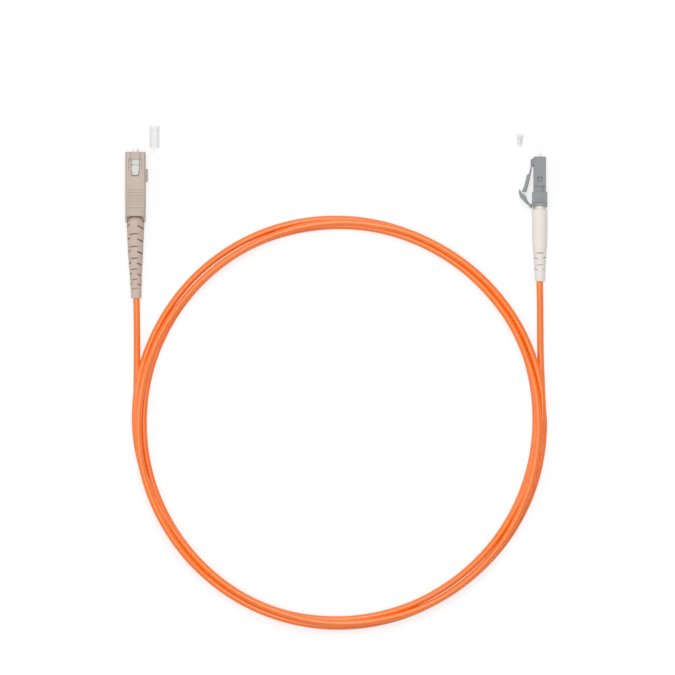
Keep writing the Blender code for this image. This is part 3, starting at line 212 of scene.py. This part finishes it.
# Each pass round the coil, as (degrees from the left end, radius in mm, height in mm). The
# first comes in underneath, runs below the others to the inner side, back out at the far side
# and over its own start; the second and third cross above it; the last dives and leaves.
PASSES = (
    [(0, 74.20, 1.2), (20, 74.20, 1.2), (35, 74.27, 1.2), (50, 74.42, 1.2), (60, 74.45, 1.2),
     (72, 73.90, 1.2), (85, 73.00, 1.2), (100, 72.00, 1.2), (110, 71.35, 1.2), (120, 70.97, 1.2),
     (135, 70.82, 1.2), (150, 70.84, 1.2), (165, 70.98, 1.2), (180, 71.20, 1.2), (190, 71.49, 1.2),
     (200, 71.90, 1.2), (210, 72.50, 1.2), (220, 73.00, 1.2), (230, 73.50, 1.2), (240, 73.68, 1.2),
     (250, 73.80, 1.2), (260, 74.10, 1.2), (270, 74.40, 1.2), (280, 74.73, 1.2), (290, 74.99, 1.2),
     (300, 75.18, 1.2), (315, 75.30, 1.2), (330, 75.27, 1.2), (340, 75.23, 2.05),
     (345, 75.20, 3.15), (350, 75.12, 3.60), (355, 75.00, 3.58)],
    [(0, 74.87, 3.47), (10, 74.30, 3.57), (20, 73.30, 3.40), (30, 72.50, 3.55), (40, 72.12, 3.80),
     (50, 72.22, 4.42), (60, 72.37, 4.62), (72, 72.50, 5.20), (85, 73.00, 5.25), (100, 73.22, 4.92),
     (110, 73.50, 4.05), (120, 73.67, 3.65), (130, 73.55, 3.70), (140, 73.30, 3.85),
     (150, 73.08, 4.40), (160, 72.80, 5.45), (170, 72.50, 5.58), (180, 72.25, 5.48),
     (190, 72.10, 4.40), (200, 71.86, 3.60), (210, 71.93, 3.48), (220, 71.75, 3.15),
     (230, 71.70, 2.68), (240, 71.65, 2.38), (250, 71.71, 2.20), (260, 71.79, 1.65),
     (270, 71.81, 1.28), (280, 71.95, 1.2), (300, 72.29, 1.2), (315, 72.19, 1.2), (330, 71.99, 1.2),
     (345, 71.88, 1.2)],
    [(0, 71.80, 1.2), (15, 71.89, 1.25), (30, 71.97, 1.35), (40, 72.07, 1.50), (50, 72.22, 2.08),
     (60, 72.37, 2.26), (72, 72.27, 2.87), (85, 71.82, 3.22), (100, 71.40, 3.47),
     (110, 71.17, 3.57), (120, 70.97, 3.60), (135, 70.82, 3.60), (150, 70.88, 3.60),
     (160, 71.50, 3.50), (170, 72.50, 3.22), (180, 73.50, 3.45), (190, 74.30, 3.52),
     (200, 74.28, 3.12), (210, 74.20, 2.92), (220, 74.02, 3.28), (230, 73.86, 3.52),
     (240, 73.70, 3.54), (250, 73.68, 3.54), (260, 73.29, 3.42), (270, 73.13, 3.35),
     (280, 72.89, 3.37), (290, 72.65, 3.52), (300, 72.50, 3.60), (312, 72.52, 3.60),
     (322, 72.72, 3.52), (331, 73.05, 3.36), (340, 73.30, 3.62), (345, 73.39, 4.55),
     (350, 73.47, 5.20), (355, 73.57, 5.42)],
    [(0, 73.70, 5.50), (10, 73.95, 5.90), (20, 74.15, 5.60), (30, 74.22, 5.10), (40, 74.34, 4.45),
     (50, 74.40, 3.62), (60, 74.45, 3.58), (72, 74.43, 3.72), (85, 74.33, 3.15), (100, 74.15, 2.20),
     (110, 74.00, 1.60), (120, 73.82, 1.2), (130, 73.84, 1.2), (140, 73.98, 1.2), (150, 74.13, 1.2),
     (165, 74.26, 1.2), (180, 74.22, 1.2)],
)


def eased(stations, degrees):
    """Radius and height between stations, on a smooth curve that never overshoots them."""
    def slope(before, here, after, axis):
        one = (here[axis] - before[axis]) / (here[0] - before[0])
        two = (after[axis] - here[axis]) / (after[0] - here[0])
        return 0 if one * two <= 0 else 2 * one * two / (one + two)

    i = max(k for k in range(len(stations) - 1) if stations[k][0] <= degrees)
    start, end = stations[i], stations[i + 1]
    before = stations[i - 1] if i > 0 else (2 * start[0] - end[0], *start[1:])
    after = stations[i + 2] if i + 2 < len(stations) else (2 * end[0] - start[0], *end[1:])
    step = end[0] - start[0]
    t = (degrees - start[0]) / step
    values = []
    for axis in (1, 2):
        leaving = slope(before, start, end, axis) * step
        arriving = slope(start, end, after, axis) * step
        values.append((2 * t ** 3 - 3 * t ** 2 + 1) * start[axis]
                      + (t ** 3 - 2 * t ** 2 + t) * leaving
                      + (3 * t ** 2 - 2 * t ** 3) * end[axis]
                      + (t ** 3 - t ** 2) * arriving)
    return values


stations = []
for number, strand in enumerate(PASSES):
    stations += [(degrees + TURN_DEGREES * number, radius, height)
                 for degrees, radius, height in strand]
route = [
    (sc_across, -0.00574, sc_up), (sc_across + 0.0001, -0.0180, sc_up),
    (sc_across + 0.00036, -0.0316, sc_up), (-0.07279, -0.0385, 0.0041),
    (-0.07275, -0.0455, 0.0031), (-0.07276, -0.0525, 0.00205),
    (-0.07284, -0.0595, 0.00138), (-0.07292, -0.0660, LAID), (-0.07292, -0.0715, LAID)]
degrees = 0
while degrees <= stations[-1][0]:
    radius, height = eased(stations, degrees)
    angle = math.radians(degrees + 180)
    route.append((COIL_MIDDLE[0] + radius * math.cos(angle) / 1000,
                  COIL_MIDDLE[1] + radius * math.sin(angle) / 1000, height / 1000))
    degrees += TURN_STEP
route += [
    (0.07525, -0.0705, LAID), (0.07495, -0.0635, LAID), (0.0746, -0.0555, LAID),
    (0.07442, -0.0475, 0.0014), (0.07436, -0.0400, 0.0020), (0.0743, -0.0325, 0.0026),
    (lc_across, -0.0253, lc_up), (lc_across, -0.0140, lc_up), (lc_across, -0.00213, lc_up)]

line = bpy.data.curves.new("cable", "CURVE")
line.dimensions = "3D"
line.bevel_depth = CABLE_THICKNESS / 2
line.bevel_resolution = 6
line.resolution_u = 5
line.render_resolution_u = 5
line.use_fill_caps = True
spline = line.splines.new("BEZIER")
spline.bezier_points.add(len(route) - 1)
for point, place in zip(spline.bezier_points, route):
    point.co = place
    point.handle_left_type = "AUTO"
    point.handle_right_type = "AUTO"
cable = bpy.data.objects.new("cable", line)
bpy.context.collection.objects.link(cable)

jacket = Finish("orange_jacket")
drift = jacket.noise(60, 2)
grain = jacket.noise(4000, 2)
jacket.set(
    Base_Color=jacket.between(drift, (0.95, 0.174, 0.001), (0.98, 0.188, 0.004)),
    Roughness=grain * 0.05 + 0.31, Specular_IOR_Level=0.85)
jacket.bump(grain, 0.000001)
line.materials.append(jacket.material)

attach(cable, "root")
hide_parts("cable_coil", "sc_lead", "lc_lead")

# The square plug's sliding grip: a pale beige moulded shell, 7.4 mm wide and 9 mm high, with a
# window in its two narrow faces, a key on one side and finger grooves. It is pressed over the
# frame from the front and slides on it.
SQUARE = (sc_across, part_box("sc_grip")[1][1], sc_up)     # its axis at the grip's front
GRIP_SIDE = 3.7               # in mm, like all the sizes of the plugs: the grip's half width
GRIP_FACE = 4.5               # half its height
GRIP_PAST = 27                # past its rear end
EDGE_CUT = 0.55               # how much of each long edge is cut off
REAR_TRIM = 23.45             # where the middle of its rear edge is trimmed
GROOVE_FLOOR = 3.95
# The fine grooves in front of the window and beside it: ends across, back and top.
GRIP_GROOVES = (("notch", (1.67, 1.87), (-1, 2.5), 4.6), ("edge", (2.36, 2.52), (2.5, 6.3), 4.2))


def only(piece):
    """Select one piece alone and make it the active one."""
    bpy.ops.object.select_all(action="DESELECT")
    piece.select_set(True)
    bpy.context.view_layer.objects.active = piece


def copied(node, name):
    """A piece of its own from a CAD piece, its loose triangles merged into whole faces."""
    piece = bpy.data.objects.new(name, bpy.data.objects[node].data.copy())
    piece.data.name = name
    piece.data.materials.clear()
    bpy.context.collection.objects.link(piece)
    only(piece)
    bpy.ops.object.mode_set(mode="EDIT")
    bpy.ops.mesh.select_all(action="SELECT")
    bpy.ops.mesh.remove_doubles(threshold=1e-7)
    bpy.ops.mesh.customdata_custom_splitnormals_clear()
    bpy.ops.mesh.dissolve_limited(angle_limit=math.radians(1))
    bpy.ops.object.mode_set(mode="OBJECT")
    return piece


def rounded(piece, width, segments=2, angle=30):
    """Break the sharp edges as the mould leaves them, and shade the rest smooth."""
    only(piece)
    edge = piece.modifiers.new("rounded_edges", "BEVEL")
    edge.width = width
    edge.segments = segments
    edge.limit_method = "ANGLE"
    edge.angle_limit = math.radians(angle)
    bpy.ops.object.modifier_apply(modifier=edge.name)
    bpy.ops.object.shade_smooth_by_angle(angle=math.radians(40))


def dress(piece, material, body, slot, *nodes):
    """Give a piece its material, the body that it rides on and the CAD pieces it stands for."""
    piece.data.materials.append(material)
    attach(piece, body)
    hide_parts(*nodes)


def moulded(name, colour, shade, roughness, grain_size=0.00025, depth=0.000004, sheen=0.4):
    """Moulded plastic: colour that drifts to a shade of it, and a fine spark-eroded grain."""
    made = Finish(name)
    drift = made.noise(120, 3)
    grain = made.noise(1 / grain_size, 4)
    made.set(Base_Color=made.between(drift, colour, shade),
             Roughness=grain * 0.16 + (roughness - 0.08), Specular_IOR_Level=sheen)
    made.bump(grain, depth)
    return made.material


def block(name, plug, across, back, up):
    """A box from its two ends across, back from the plug's front and up, in mm."""
    bpy.ops.object.select_all(action="DESELECT")
    low, high = (Vector((plug[0] + x / 1000, plug[1] - y / 1000, plug[2] + z / 1000))
                 for x, y, z in zip(across, back, up))
    bpy.ops.mesh.primitive_cube_add(size=1, location=(low + high) / 2)
    made = bpy.context.object
    made.name = name
    made.scale = [abs(size) for size in high - low]
    bpy.ops.object.transform_apply(location=True, rotation=True, scale=True)
    return made


def combine(piece, other, operation="DIFFERENCE"):
    """Cut another solid from a piece, or weld it on, and take the other one away."""
    step = piece.modifiers.new("combine", "BOOLEAN")
    step.operation = operation
    step.solver = "EXACT"
    step.object = other
    only(piece)
    bpy.ops.object.modifier_apply(modifier=step.name)
    bpy.data.objects.remove(other)


def chamfer(piece, plug, across, up, back, width):
    """Cut a long edge of a square piece off with a turned block."""
    cutter = block("cutter", plug, (-5, 5), back, (0, 5))
    only(cutter)
    edge = (plug[0] + (across - math.copysign(width / 2, across)) / 1000,
            plug[1], plug[2] + (up - math.copysign(width / 2, up)) / 1000)
    turn = math.copysign(math.pi / 4 if up > 0 else 3 * math.pi / 4, across)
    cutter.matrix_world = (Matrix.Translation(edge) @ Matrix.Rotation(turn, 4, "Y")
                           @ Matrix.Translation(-Vector(plug)))
    bpy.ops.object.transform_apply(location=True, rotation=True, scale=True)
    combine(piece, cutter)


beige_plastic = moulded("beige_plastic", (0.512, 0.417, 0.362), (0.490, 0.395, 0.340), 0.45)
grip = copied("sc_grip", "square_grip")
for face in (1, -1):
    for side in (1, -1):
        for name, across, back, top in GRIP_GROOVES:
            combine(grip, block(name, SQUARE, [end * side for end in across], back,
                                (top * face, GROOVE_FLOOR * face)))
        chamfer(grip, SQUARE, GRIP_SIDE * side, GRIP_FACE * face, (-1, GRIP_PAST), EDGE_CUT)
    combine(grip, block("rear_end", SQUARE, (-3.1, 3.1), (REAR_TRIM, GRIP_PAST),
                        (2 * face, 5 * face)))
rounded(grip, 0.00010)
dress(grip, beige_plastic, "sc_sliding_grip", "beige_plastic", "sc_grip")

# The square plug's frame: a pale grey-white moulded box inside the grip, whose two lugs stand
# in the grip's windows. The ferrule stands in its round well.
white_plastic = moulded("white_plastic", (0.66, 0.66, 0.64), (0.62, 0.62, 0.60), 0.42)
plug_frame = copied("sc_plug_frame", "square_frame")
rounded(plug_frame, 0.00007)
dress(plug_frame, white_plastic, "root", "white_plastic", "sc_plug_frame")

# The square plug's ferrule: ground and polished white zirconia, 2.5 mm, with a domed end and
# the fibre in its bore. It is pressed into a metal flange that the spring pushes forward.
SC_FERRULE = ((-1.35, 0.07), (-1.35, 0.42), (-1.34, 0.70), (-1.31, 0.86), (-1.24, 0.98),
              (-1.05, 1.13), (-0.90, 1.20), (-0.74, 1.24), (-0.50, 1.25), (7.15, 1.25),
              (7.15, 0.07))


def turned(name, plug, stations, sides=64):
    """A round piece on a plug's axis, drawn from ring to ring: (back, radius) in mm."""
    bpy.ops.object.select_all(action="DESELECT")
    across, front, up = plug
    back, radius = stations[0]
    bpy.ops.mesh.primitive_circle_add(vertices=sides, radius=radius / 1000,
                                      rotation=(math.pi / 2, 0, 0),
                                      location=(across, front - back / 1000, up))
    piece = bpy.context.object
    piece.name = name
    bpy.ops.object.transform_apply(location=True, rotation=True, scale=True)
    bpy.ops.object.mode_set(mode="EDIT")
    bpy.ops.mesh.select_all(action="SELECT")
    for (old_back, old_radius), (back, radius) in zip(stations, stations[1:]):
        bpy.ops.mesh.extrude_region_move(
            TRANSFORM_OT_translate={"value": (0, (old_back - back) / 1000, 0)})
        grow = radius / old_radius
        bpy.ops.transform.resize(value=(grow, 1, grow),
                                 center_override=(across, front - back / 1000, up))
    bpy.ops.mesh.select_all(action="SELECT")
    bpy.ops.mesh.remove_doubles(threshold=1e-7)
    bpy.ops.mesh.fill_holes(sides=0)
    bpy.ops.mesh.select_all(action="SELECT")
    bpy.ops.mesh.normals_make_consistent(inside=False)
    bpy.ops.object.mode_set(mode="OBJECT")
    bpy.ops.object.shade_smooth_by_angle(angle=math.radians(32))
    return piece


ceramic = moulded("ceramic", (0.93, 0.93, 0.91), (0.90, 0.90, 0.885), 0.20, 0.0004, 0.000001, 0.45)
ferrule = turned("square_ferrule", SQUARE, SC_FERRULE)
dress(ferrule, ceramic, "sc_ferrule_body", "ceramic", "sc_ferrule")

# The metal inside the square plug: the flange that holds the ferrule, its coil spring, the
# stop ring that closes the frame, and the sleeve crimped over barrel and jacket.


def metal(name, colour, roughness, stretch):
    """Plated or drawn metal, with fine tool marks that run one way."""
    made = Finish(name)
    marks = made.noise(3000, 3, stretch)
    tone = made.noise(300, 2)
    darker = tuple(0.9 * part for part in colour)
    made.set(Base_Color=made.between(tone, colour, darker), Metallic=1.0,
             Roughness=marks * 0.15 + (roughness - 0.07))
    made.bump(marks, 0.000002)
    return made.material


def refinish(node, material):
    """Give a CAD piece that stays as it is a better material."""
    for slot in bpy.data.objects[node].material_slots:
        slot.material = material


nickel = metal("nickel", (0.62, 0.60, 0.56), 0.26, (0.2, 3, 0.2))
spring_steel = metal("spring_steel", (0.55, 0.55, 0.56), 0.32, (1, 1, 1))
for node in ("sc_ferrule_flange", "sc_stop_ring", "sc_crimp_sleeve"):
    refinish(node, nickel)


def spring_for(node, name):
    """A coil spring, copied from its CAD piece and shaded smooth."""
    coil = copied(node, name)
    bpy.ops.object.shade_smooth_by_angle(angle=math.radians(40))
    dress(coil, spring_steel, "root", "spring_steel", node)
    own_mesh(coil)


spring_for("sc_spring", "square_spring")

# The buffered fibre inside each plug: an off-white plastic skin over the glass, stripped of
# the orange jacket. It is glued into the back of the ferrule.
fibre_buffer = moulded("fibre_buffer", (0.85, 0.83, 0.78), (0.80, 0.78, 0.72), 0.5)
refinish("sc_fibre", fibre_buffer)
refinish("lc_fibre", fibre_buffer)

# The square plug's bend boot: a soft beige elastomer sleeve that tapers to the cable. Slots
# cut it in turn from the sides and from front and back, each kind with its own lean, so that
# it bends in a wide curve. It is pushed over the crimp sleeve.
SC_BOOT_FRONT = 23.6
SC_BOOT_BACK = 53.4
SC_BOOT_SHAPE = ((0, 2.35), (0.06, 2.62), (0.35, 2.93), (0.90, 3.11), (1.55, 3.185), (2.3, 3.2),
                 (4.2, 3.16), (6.3, 3.06), (9.2, 2.93), (12.1, 2.82), (14.6, 2.68), (16.5, 2.53),
                 (18.5, 2.44), (21.0, 2.22), (23.8, 2.15), (27.0, 1.96), (28.2, 1.93),
                 (29.3, 1.88), (29.65, 1.82), (29.8, 1.70))
SC_BOOT_BORE = ((SC_BOOT_FRONT, 2.05), (28.2, 2.05), (28.8, 1.8), (32.1, 1.8), (32.7, 1.35),
                (SC_BOOT_BACK, 1.35))
SC_SLOT_FRONT = 4.6
SC_SLOT_PITCH = 2.41
SC_SLOT_CLOSING = 0.69        # the last pitch as a share of the first
SC_SLOT_LEVELS = 12
SC_SLOT_WIDTH = 0.54
SC_SLOT_SHIFT = 0.70          # how far every second level is moved forward
SC_SLOT_TURN = 14             # degrees round the axis
SC_SLOT_CORES = (0.45, 0.66)  # the uncut share of the radius, for the two kinds of level
SC_SLOT_LEANS = (-12, 20)
SC_SLOT_TWISTS = (-17, 5)
OTHER_SIDE_TWIST = -1.5       # the opposite slot's twist as a share of the first one's
BORE_WALL = 0.15              # left round the bore where the slots stop
WALL_REACH = 1.2              # how far it goes past the first and the last slot


def shape_at(shape, along):
    """The radius of a profile at a distance along it."""
    for (start, small), (end, large) in zip(shape, shape[1:]):
        if start <= along <= end:
            return small + (large - small) * (along - start) / (end - start)
    return shape[-1][1]


def slab(name, plug, along, quarter, radius, core, lean, twist, width):
    """A thin leaning slab that cuts one slot from one side of a boot."""
    across, front, up = plug
    deep = radius * (1 - core) / math.cos(math.radians(lean))
    bpy.ops.object.select_all(action="DESELECT")
    bpy.ops.mesh.primitive_cube_add(size=1)
    made = bpy.context.object
    made.name = name
    made.matrix_world = (
        Matrix.Translation((across, front, up)) @ Matrix.Rotation(math.pi / 2, 4, "X")
        @ Matrix.Rotation(math.radians(quarter), 4, "Z")
        @ Matrix.Translation((radius / 1000, 0, along / 1000))
        @ Matrix.Rotation(math.radians(twist), 4, "X") @ Matrix.Rotation(math.radians(lean), 4, "Y")
        @ Matrix.Translation(((1 - (deep + 1) / 2) / 1000, 0, 0))
        @ Matrix.Diagonal(((deep + 1) / 1000, (2 * radius + 2) / 1000, width / 1000, 1)))
    bpy.ops.object.transform_apply(location=True, rotation=True, scale=True)
    return made


def slotted_boot(name, plug, front, shape, bore, slots, width):
    """A bend boot: the slots stop at a thin wall that stays round the bore."""
    outline = [(front, 1.0)] + [(front + along, radius) for along, radius in shape]
    boot = turned(name, plug, outline + [(outline[-1][0], 1.0)])
    for along, quarter, core, lean, twist in slots:
        for side, side_twist in ((0, twist), (180, OTHER_SIDE_TWIST * twist)):
            combine(boot, slab("slot", plug, front + along, quarter + side,
                               shape_at(shape, along), core, lean, side_twist, width))
    first = front + slots[0][0] - WALL_REACH
    last = front + slots[-1][0] + WALL_REACH
    wall = [(first, shape_at(bore, first) + BORE_WALL)]
    wall += [(along, radius + BORE_WALL) for along, radius in bore if first < along < last]
    wall += [(last, shape_at(bore, last) + BORE_WALL)]
    combine(boot, turned("wall", plug, wall), "UNION")
    hole = [(bore[0][0] - 2, bore[0][1])] + list(bore[1:-1]) + [(bore[-1][0] + 2, bore[-1][1])]
    combine(boot, turned("hole", plug, hole))
    only(boot)
    bpy.ops.object.shade_smooth_by_angle(angle=math.radians(32))
    return boot


def bent(boot, plug, start, end, sideways):
    """Bend a boot's tail a little to one side, where the cable pulls it, in mm."""
    straight = plug[1] - start / 1000
    for vert in boot.data.vertices:
        share = max(0, (straight - vert.co.y) * 1000 / (end - start))
        vert.co.x += sideways / 1000 * share ** 2


def soft_rubber(name, colour, shade):
    """Soft moulded elastomer: matt, with a faint cloudy bloom and a fine grain."""
    made = Finish(name)
    bloom = made.noise(90, 4)
    grain = made.noise(5200, 4)
    made.set(Base_Color=made.between(bloom, colour, shade), Roughness=grain * 0.14 + 0.52,
             Specular_IOR_Level=0.3)
    made.bump(grain, 0.000005)
    return made.material


slots = []
along = SC_SLOT_FRONT
for level in range(SC_SLOT_LEVELS):
    kind = level % 2
    slots.append((along - SC_SLOT_SHIFT * kind, 90 * kind + SC_SLOT_TURN, SC_SLOT_CORES[kind],
                  SC_SLOT_LEANS[kind], SC_SLOT_TWISTS[kind]))
    along += SC_SLOT_PITCH * (1 - (1 - SC_SLOT_CLOSING) * level / (SC_SLOT_LEVELS - 2))
boot = slotted_boot("square_boot", SQUARE, SC_BOOT_FRONT, SC_BOOT_SHAPE, SC_BOOT_BORE, slots,
                    SC_SLOT_WIDTH)
combine(boot, block("collar", SQUARE, (-3.15, 3.15), (SC_BOOT_FRONT, 24.75), (-1.6, 1.6)), "UNION")
combine(boot, turned("bore", SQUARE, ((23.0, 2.05), (25.5, 2.05))))
bent(boot, SQUARE, 30, SC_BOOT_BACK, 0.30)
dress(boot, soft_rubber("beige_rubber", (0.560, 0.455, 0.392), (0.535, 0.430, 0.368)), "root",
      "beige_rubber", "sc_boot")

# The square plug's dust cap: a soft translucent tube, closed at its far end, where a thicker
# bead gives a grip. It has been pulled off and lies on the table in front of the plug.
SC_CAP = ((0, 1.62), (0.06, 1.76), (0.2, 1.86), (0.4, 1.9), (1.35, 1.9), (1.5, 1.87), (1.62, 1.78),
          (1.85, 1.75), (7.8, 1.75), (7.94, 1.71), (8.0, 1.62), (8.0, 1.46), (7.9, 1.41),
          (7.7, 1.4), (1.15, 1.4), (1.0, 1.25), (1.0, 0.02))
SC_CAP_ASIDE = 0.0069         # how far right of the plug it lies
SC_CAP_TILT = 1.343           # degrees, as it rests on its bead


def lying(cap, place, tilt):
    """Lay a cap on the table: it was made on the axis through the origin."""
    only(cap)
    cap.location = place
    cap.rotation_euler = (math.radians(tilt), 0, 0)
    bpy.ops.object.transform_apply(location=True, rotation=True, scale=True)


milky = Finish("clear_plastic")
cloud = milky.noise(400, 1)
milky.set(Base_Color=milky.between(cloud, (0.97, 0.97, 0.975), (0.94, 0.94, 0.945)),
          Alpha=cloud * 0.06 + 0.66, Roughness=cloud * 0.06 + 0.45, Specular_IOR_Level=0.35)
cap = turned("square_cap", (0, 0, 0), SC_CAP, 48)
lying(cap, (sc_across + SC_CAP_ASIDE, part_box("sc_dust_cap")[1][1] - 0.00004, 0.00194),
      SC_CAP_TILT)
dress(cap, milky.material, "root", "clear_plastic", "sc_dust_cap")

# The latch plug's housing: cool grey moulded plastic, 4.5 mm square, with the root of the
# latch on its left side and a fine n-shaped outline in its top and bottom faces.
LC_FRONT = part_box("lc_housing")[1][1]
SMALL = (lc_across, LC_FRONT, lc_up)
LC_WALLS = (-2.25, 2.25)      # the outer walls of the 4.5 mm square, in mm from the axis
LC_BORE = 1.45
MARK_TOP = 2.4
MARK_FLOOR = 1.5
# The strokes of the outline: ends across and back.
LC_MARKS = (((-0.90, 0.90), (7.38, 7.68)), ((-0.90, -0.62), (7.5, 8.50)),
            ((0.62, 0.90), (7.5, 8.50)), ((-0.60, -0.36), (8.55, 9.35)),
            ((0.36, 0.60), (8.55, 9.35)))
grey_plastic = moulded("grey_plastic", (0.254, 0.268, 0.276), (0.236, 0.250, 0.258), 0.42)
housing = copied("lc_housing", "latch_housing")
combine(housing, block("back_edge", SMALL, LC_WALLS, (10.30, 10.70), LC_WALLS), "UNION")
combine(housing, turned("back_bore", SMALL, ((10.1, LC_BORE), (11.0, LC_BORE)), 24))
for face in (1, -1):
    for across, back in LC_MARKS:
        combine(housing, block("mark", SMALL, across, back, (MARK_TOP * face, MARK_FLOOR * face)))
combine(housing, block("latch_root", SMALL, (-2.65, -2.2), (3.10, 3.83), (-0.9, 0.9)), "UNION")
for face in (1, -1):
    combine(housing, block("pit", SMALL, (-2.70, -2.22), (3.28, 3.86), (1.0 * face, 0.15 * face)))
rounded(housing, 0.00003)
dress(housing, grey_plastic, "root", "grey_plastic", "lc_housing")

# The latch plug's ferrule and its metal: the same zirconia, 1.25 mm, in a small flange with a
# coil spring, and the crimp sleeve over the rear body's barrel.
LC_FERRULE = ((-2.25, 0.07), (-2.25, 0.26), (-2.24, 0.36), (-2.21, 0.44), (-2.13, 0.52),
              (-2.02, 0.575), (-1.90, 0.61), (-1.75, 0.625), (5.0, 0.625), (5.0, 0.07))
small_ferrule = turned("latch_ferrule", SMALL, LC_FERRULE, 48)
dress(small_ferrule, ceramic, "lc_ferrule_body", "ceramic", "lc_ferrule")
for node in ("lc_ferrule_flange", "lc_crimp_sleeve"):
    refinish(node, nickel)
spring_for("lc_spring", "latch_spring")

# The latch: a thin arm moulded on the housing's root, with two shoulders that catch in the
# adapter and a tip that the trigger presses.
lever = copied("lc_latch_lever", "latch_lever")
rounded(lever, 0.00007)
dress(lever, grey_plastic, "lc_latch_body", "grey_plastic", "lc_latch_lever")

# The latch plug's rear body, snapped into the housing, and the clip that is pushed over it
# with an arched back edge. Both are the housing's grey.
ARCH_BACK = 0.0207            # the middle of the clip's arched groove, in metres
ARCH_UP = 0.00268
ARCH_RADII = (0.00398, 0.00414)
ARCH_DEPTH = 0.00045
rear = copied("lc_rear_body", "latch_rear_body")
combine(rear, block("front_edge", SMALL, LC_WALLS, (10.90, 11.30), LC_WALLS), "UNION")
combine(rear, block("seat", SMALL, (-2.2, 2.2), (10.715, 11.0), (-1.8, 1.8)), "UNION")
combine(rear, turned("front_bore", SMALL, ((10.6, LC_BORE), (11.5, LC_BORE)), 24))
for face in (1, -1):
    combine(rear, block("line", SMALL, (1.05, 1.33), (11.2, 12.9),
                        (MARK_TOP * face, MARK_FLOOR * face)))
rounded(rear, 0.00004)
dress(rear, grey_plastic, "root", "grey_plastic", "lc_rear_body")
clip = copied("lc_trigger_clip", "latch_clip")
for face in (1, -1):
    bpy.ops.object.select_all(action="DESELECT")
    centre = (lc_across, LC_FRONT - ARCH_BACK, lc_up + ARCH_UP * face)
    bpy.ops.mesh.primitive_cylinder_add(vertices=96, radius=ARCH_RADII[1], depth=ARCH_DEPTH,
                                        location=centre)
    arch = bpy.context.object
    bpy.ops.mesh.primitive_cylinder_add(vertices=96, radius=ARCH_RADII[0], depth=0.001,
                                        location=centre)
    combine(arch, bpy.context.object)
    combine(clip, arch)
rounded(clip, 0.00007)
dress(clip, grey_plastic, "root", "grey_plastic", "lc_trigger_clip")

# The trigger: a curved tab, moulded on the clip by a thin root, that leans over the latch's
# tip so that a finger pushes the latch down.
trigger = copied("lc_trigger", "latch_trigger")
rounded(trigger, 0.00010, 2, 24)
dress(trigger, grey_plastic, "lc_trigger_body", "grey_plastic", "lc_trigger")

# The two living hinges: thin webs of the same grey plastic, moulded with the latch and with the
# trigger, where each joins its root.


def web(name, place, turn, sizes):
    """A thin rounded web at a hinge, turned to lie across its gap."""
    bpy.ops.object.select_all(action="DESELECT")
    bpy.ops.mesh.primitive_cube_add(size=1, location=place, rotation=(0, 0, math.radians(turn)))
    made = bpy.context.object
    made.name = name
    made.scale = [size / 1000 for size in sizes]
    bpy.ops.object.transform_apply(location=True, rotation=True, scale=True)
    bpy.ops.object.mode_set(mode="EDIT")
    bpy.ops.mesh.select_all(action="SELECT")
    bpy.ops.mesh.subdivide(number_cuts=3)
    bpy.ops.object.mode_set(mode="OBJECT")
    rounded(made, 0.00003)
    made.data.materials.append(grey_plastic)
    return made


latch_web = web("latch_web", (0.07115, 0.01692, lc_up), 0, (0.60, 0.34, 2.4))
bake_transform(latch_web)
trigger_web = web("trigger_web", (0.07025, 0.002765, lc_up), -45, (0.80, 0.40, 2.6))
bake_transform(trigger_web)

# The latch plug's boot: warm white elastomer, smooth where it leaves the clip, with four
# leaning slots where it narrows to the cable. It is pushed over the crimp sleeve.
LC_BOOT_FRONT = 17.0
LC_BOOT_BACK = 45.5
LC_BOOT_SHAPE = ((0, 2.10), (0.15, 2.26), (1.94, 2.28), (1.98, 2.36), (2.05, 2.50), (2.2, 2.62),
                 (2.45, 2.72), (2.8, 2.78), (3.2, 2.80), (5.5, 2.80), (8.8, 2.78),
                 (12.5, 2.745), (14.2, 2.70), (15.6, 2.62), (16.8, 2.50), (18.0, 2.37),
                 (19.5, 2.28), (20.9, 2.21), (22.6, 2.12), (24.3, 2.02), (26.0, 1.92),
                 (27.2, 1.86), (28.1, 1.82), (28.4, 1.76), (28.5, 1.66))
LC_BOOT_BORE = ((LC_BOOT_FRONT, 2.05), (26.4, 2.05), (27.0, 1.35), (LC_BOOT_BACK, 1.35))
# Each slot as (back from the boot's front, degrees round, uncut share, lean, twist).
LC_SLOTS = ((18.15, 89, 0.56, 20, 3), (19.42, -6, 0.38, 4, 14),
            (22.49, 89, 0.56, 20, 3), (23.60, -6, 0.38, 4, 14))
LC_SLOT_WIDTH = 0.46
white_boot = slotted_boot("latch_boot", SMALL, LC_BOOT_FRONT, LC_BOOT_SHAPE, LC_BOOT_BORE,
                          LC_SLOTS, LC_SLOT_WIDTH)
bent(white_boot, SMALL, 30, LC_BOOT_BACK, 0.12)
dress(white_boot, soft_rubber("white_rubber", (0.80, 0.755, 0.72), (0.77, 0.72, 0.68)), "root",
      "white_rubber", "lc_boot")

# The latch plug's dust cap: the same soft plastic, a short tapered tube with a wide rim, lying
# on its rim and its open end.
LC_CAP = ((0, 1.50), (0.06, 1.575), (0.16, 1.6), (0.46, 1.6), (0.55, 1.57), (0.6, 1.50),
          (0.62, 1.16), (0.75, 1.075), (3.85, 0.86), (3.96, 0.83), (4.0, 0.78), (3.98, 0.72),
          (3.85, 0.70), (0.6, 0.70), (0.6, 0.02))
LC_CAP_ASIDE = 0.00725        # how far left of the plug it lies
LC_CAP_TILT = 12.4            # degrees
small_cap = turned("latch_cap", (0, 0, 0), LC_CAP, 48)
lying(small_cap, (lc_across - LC_CAP_ASIDE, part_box("lc_dust_cap")[1][1] - 0.00034, 0.00171),
      LC_CAP_TILT)
dress(small_cap, milky.material, "root", "clear_plastic", "lc_dust_cap")
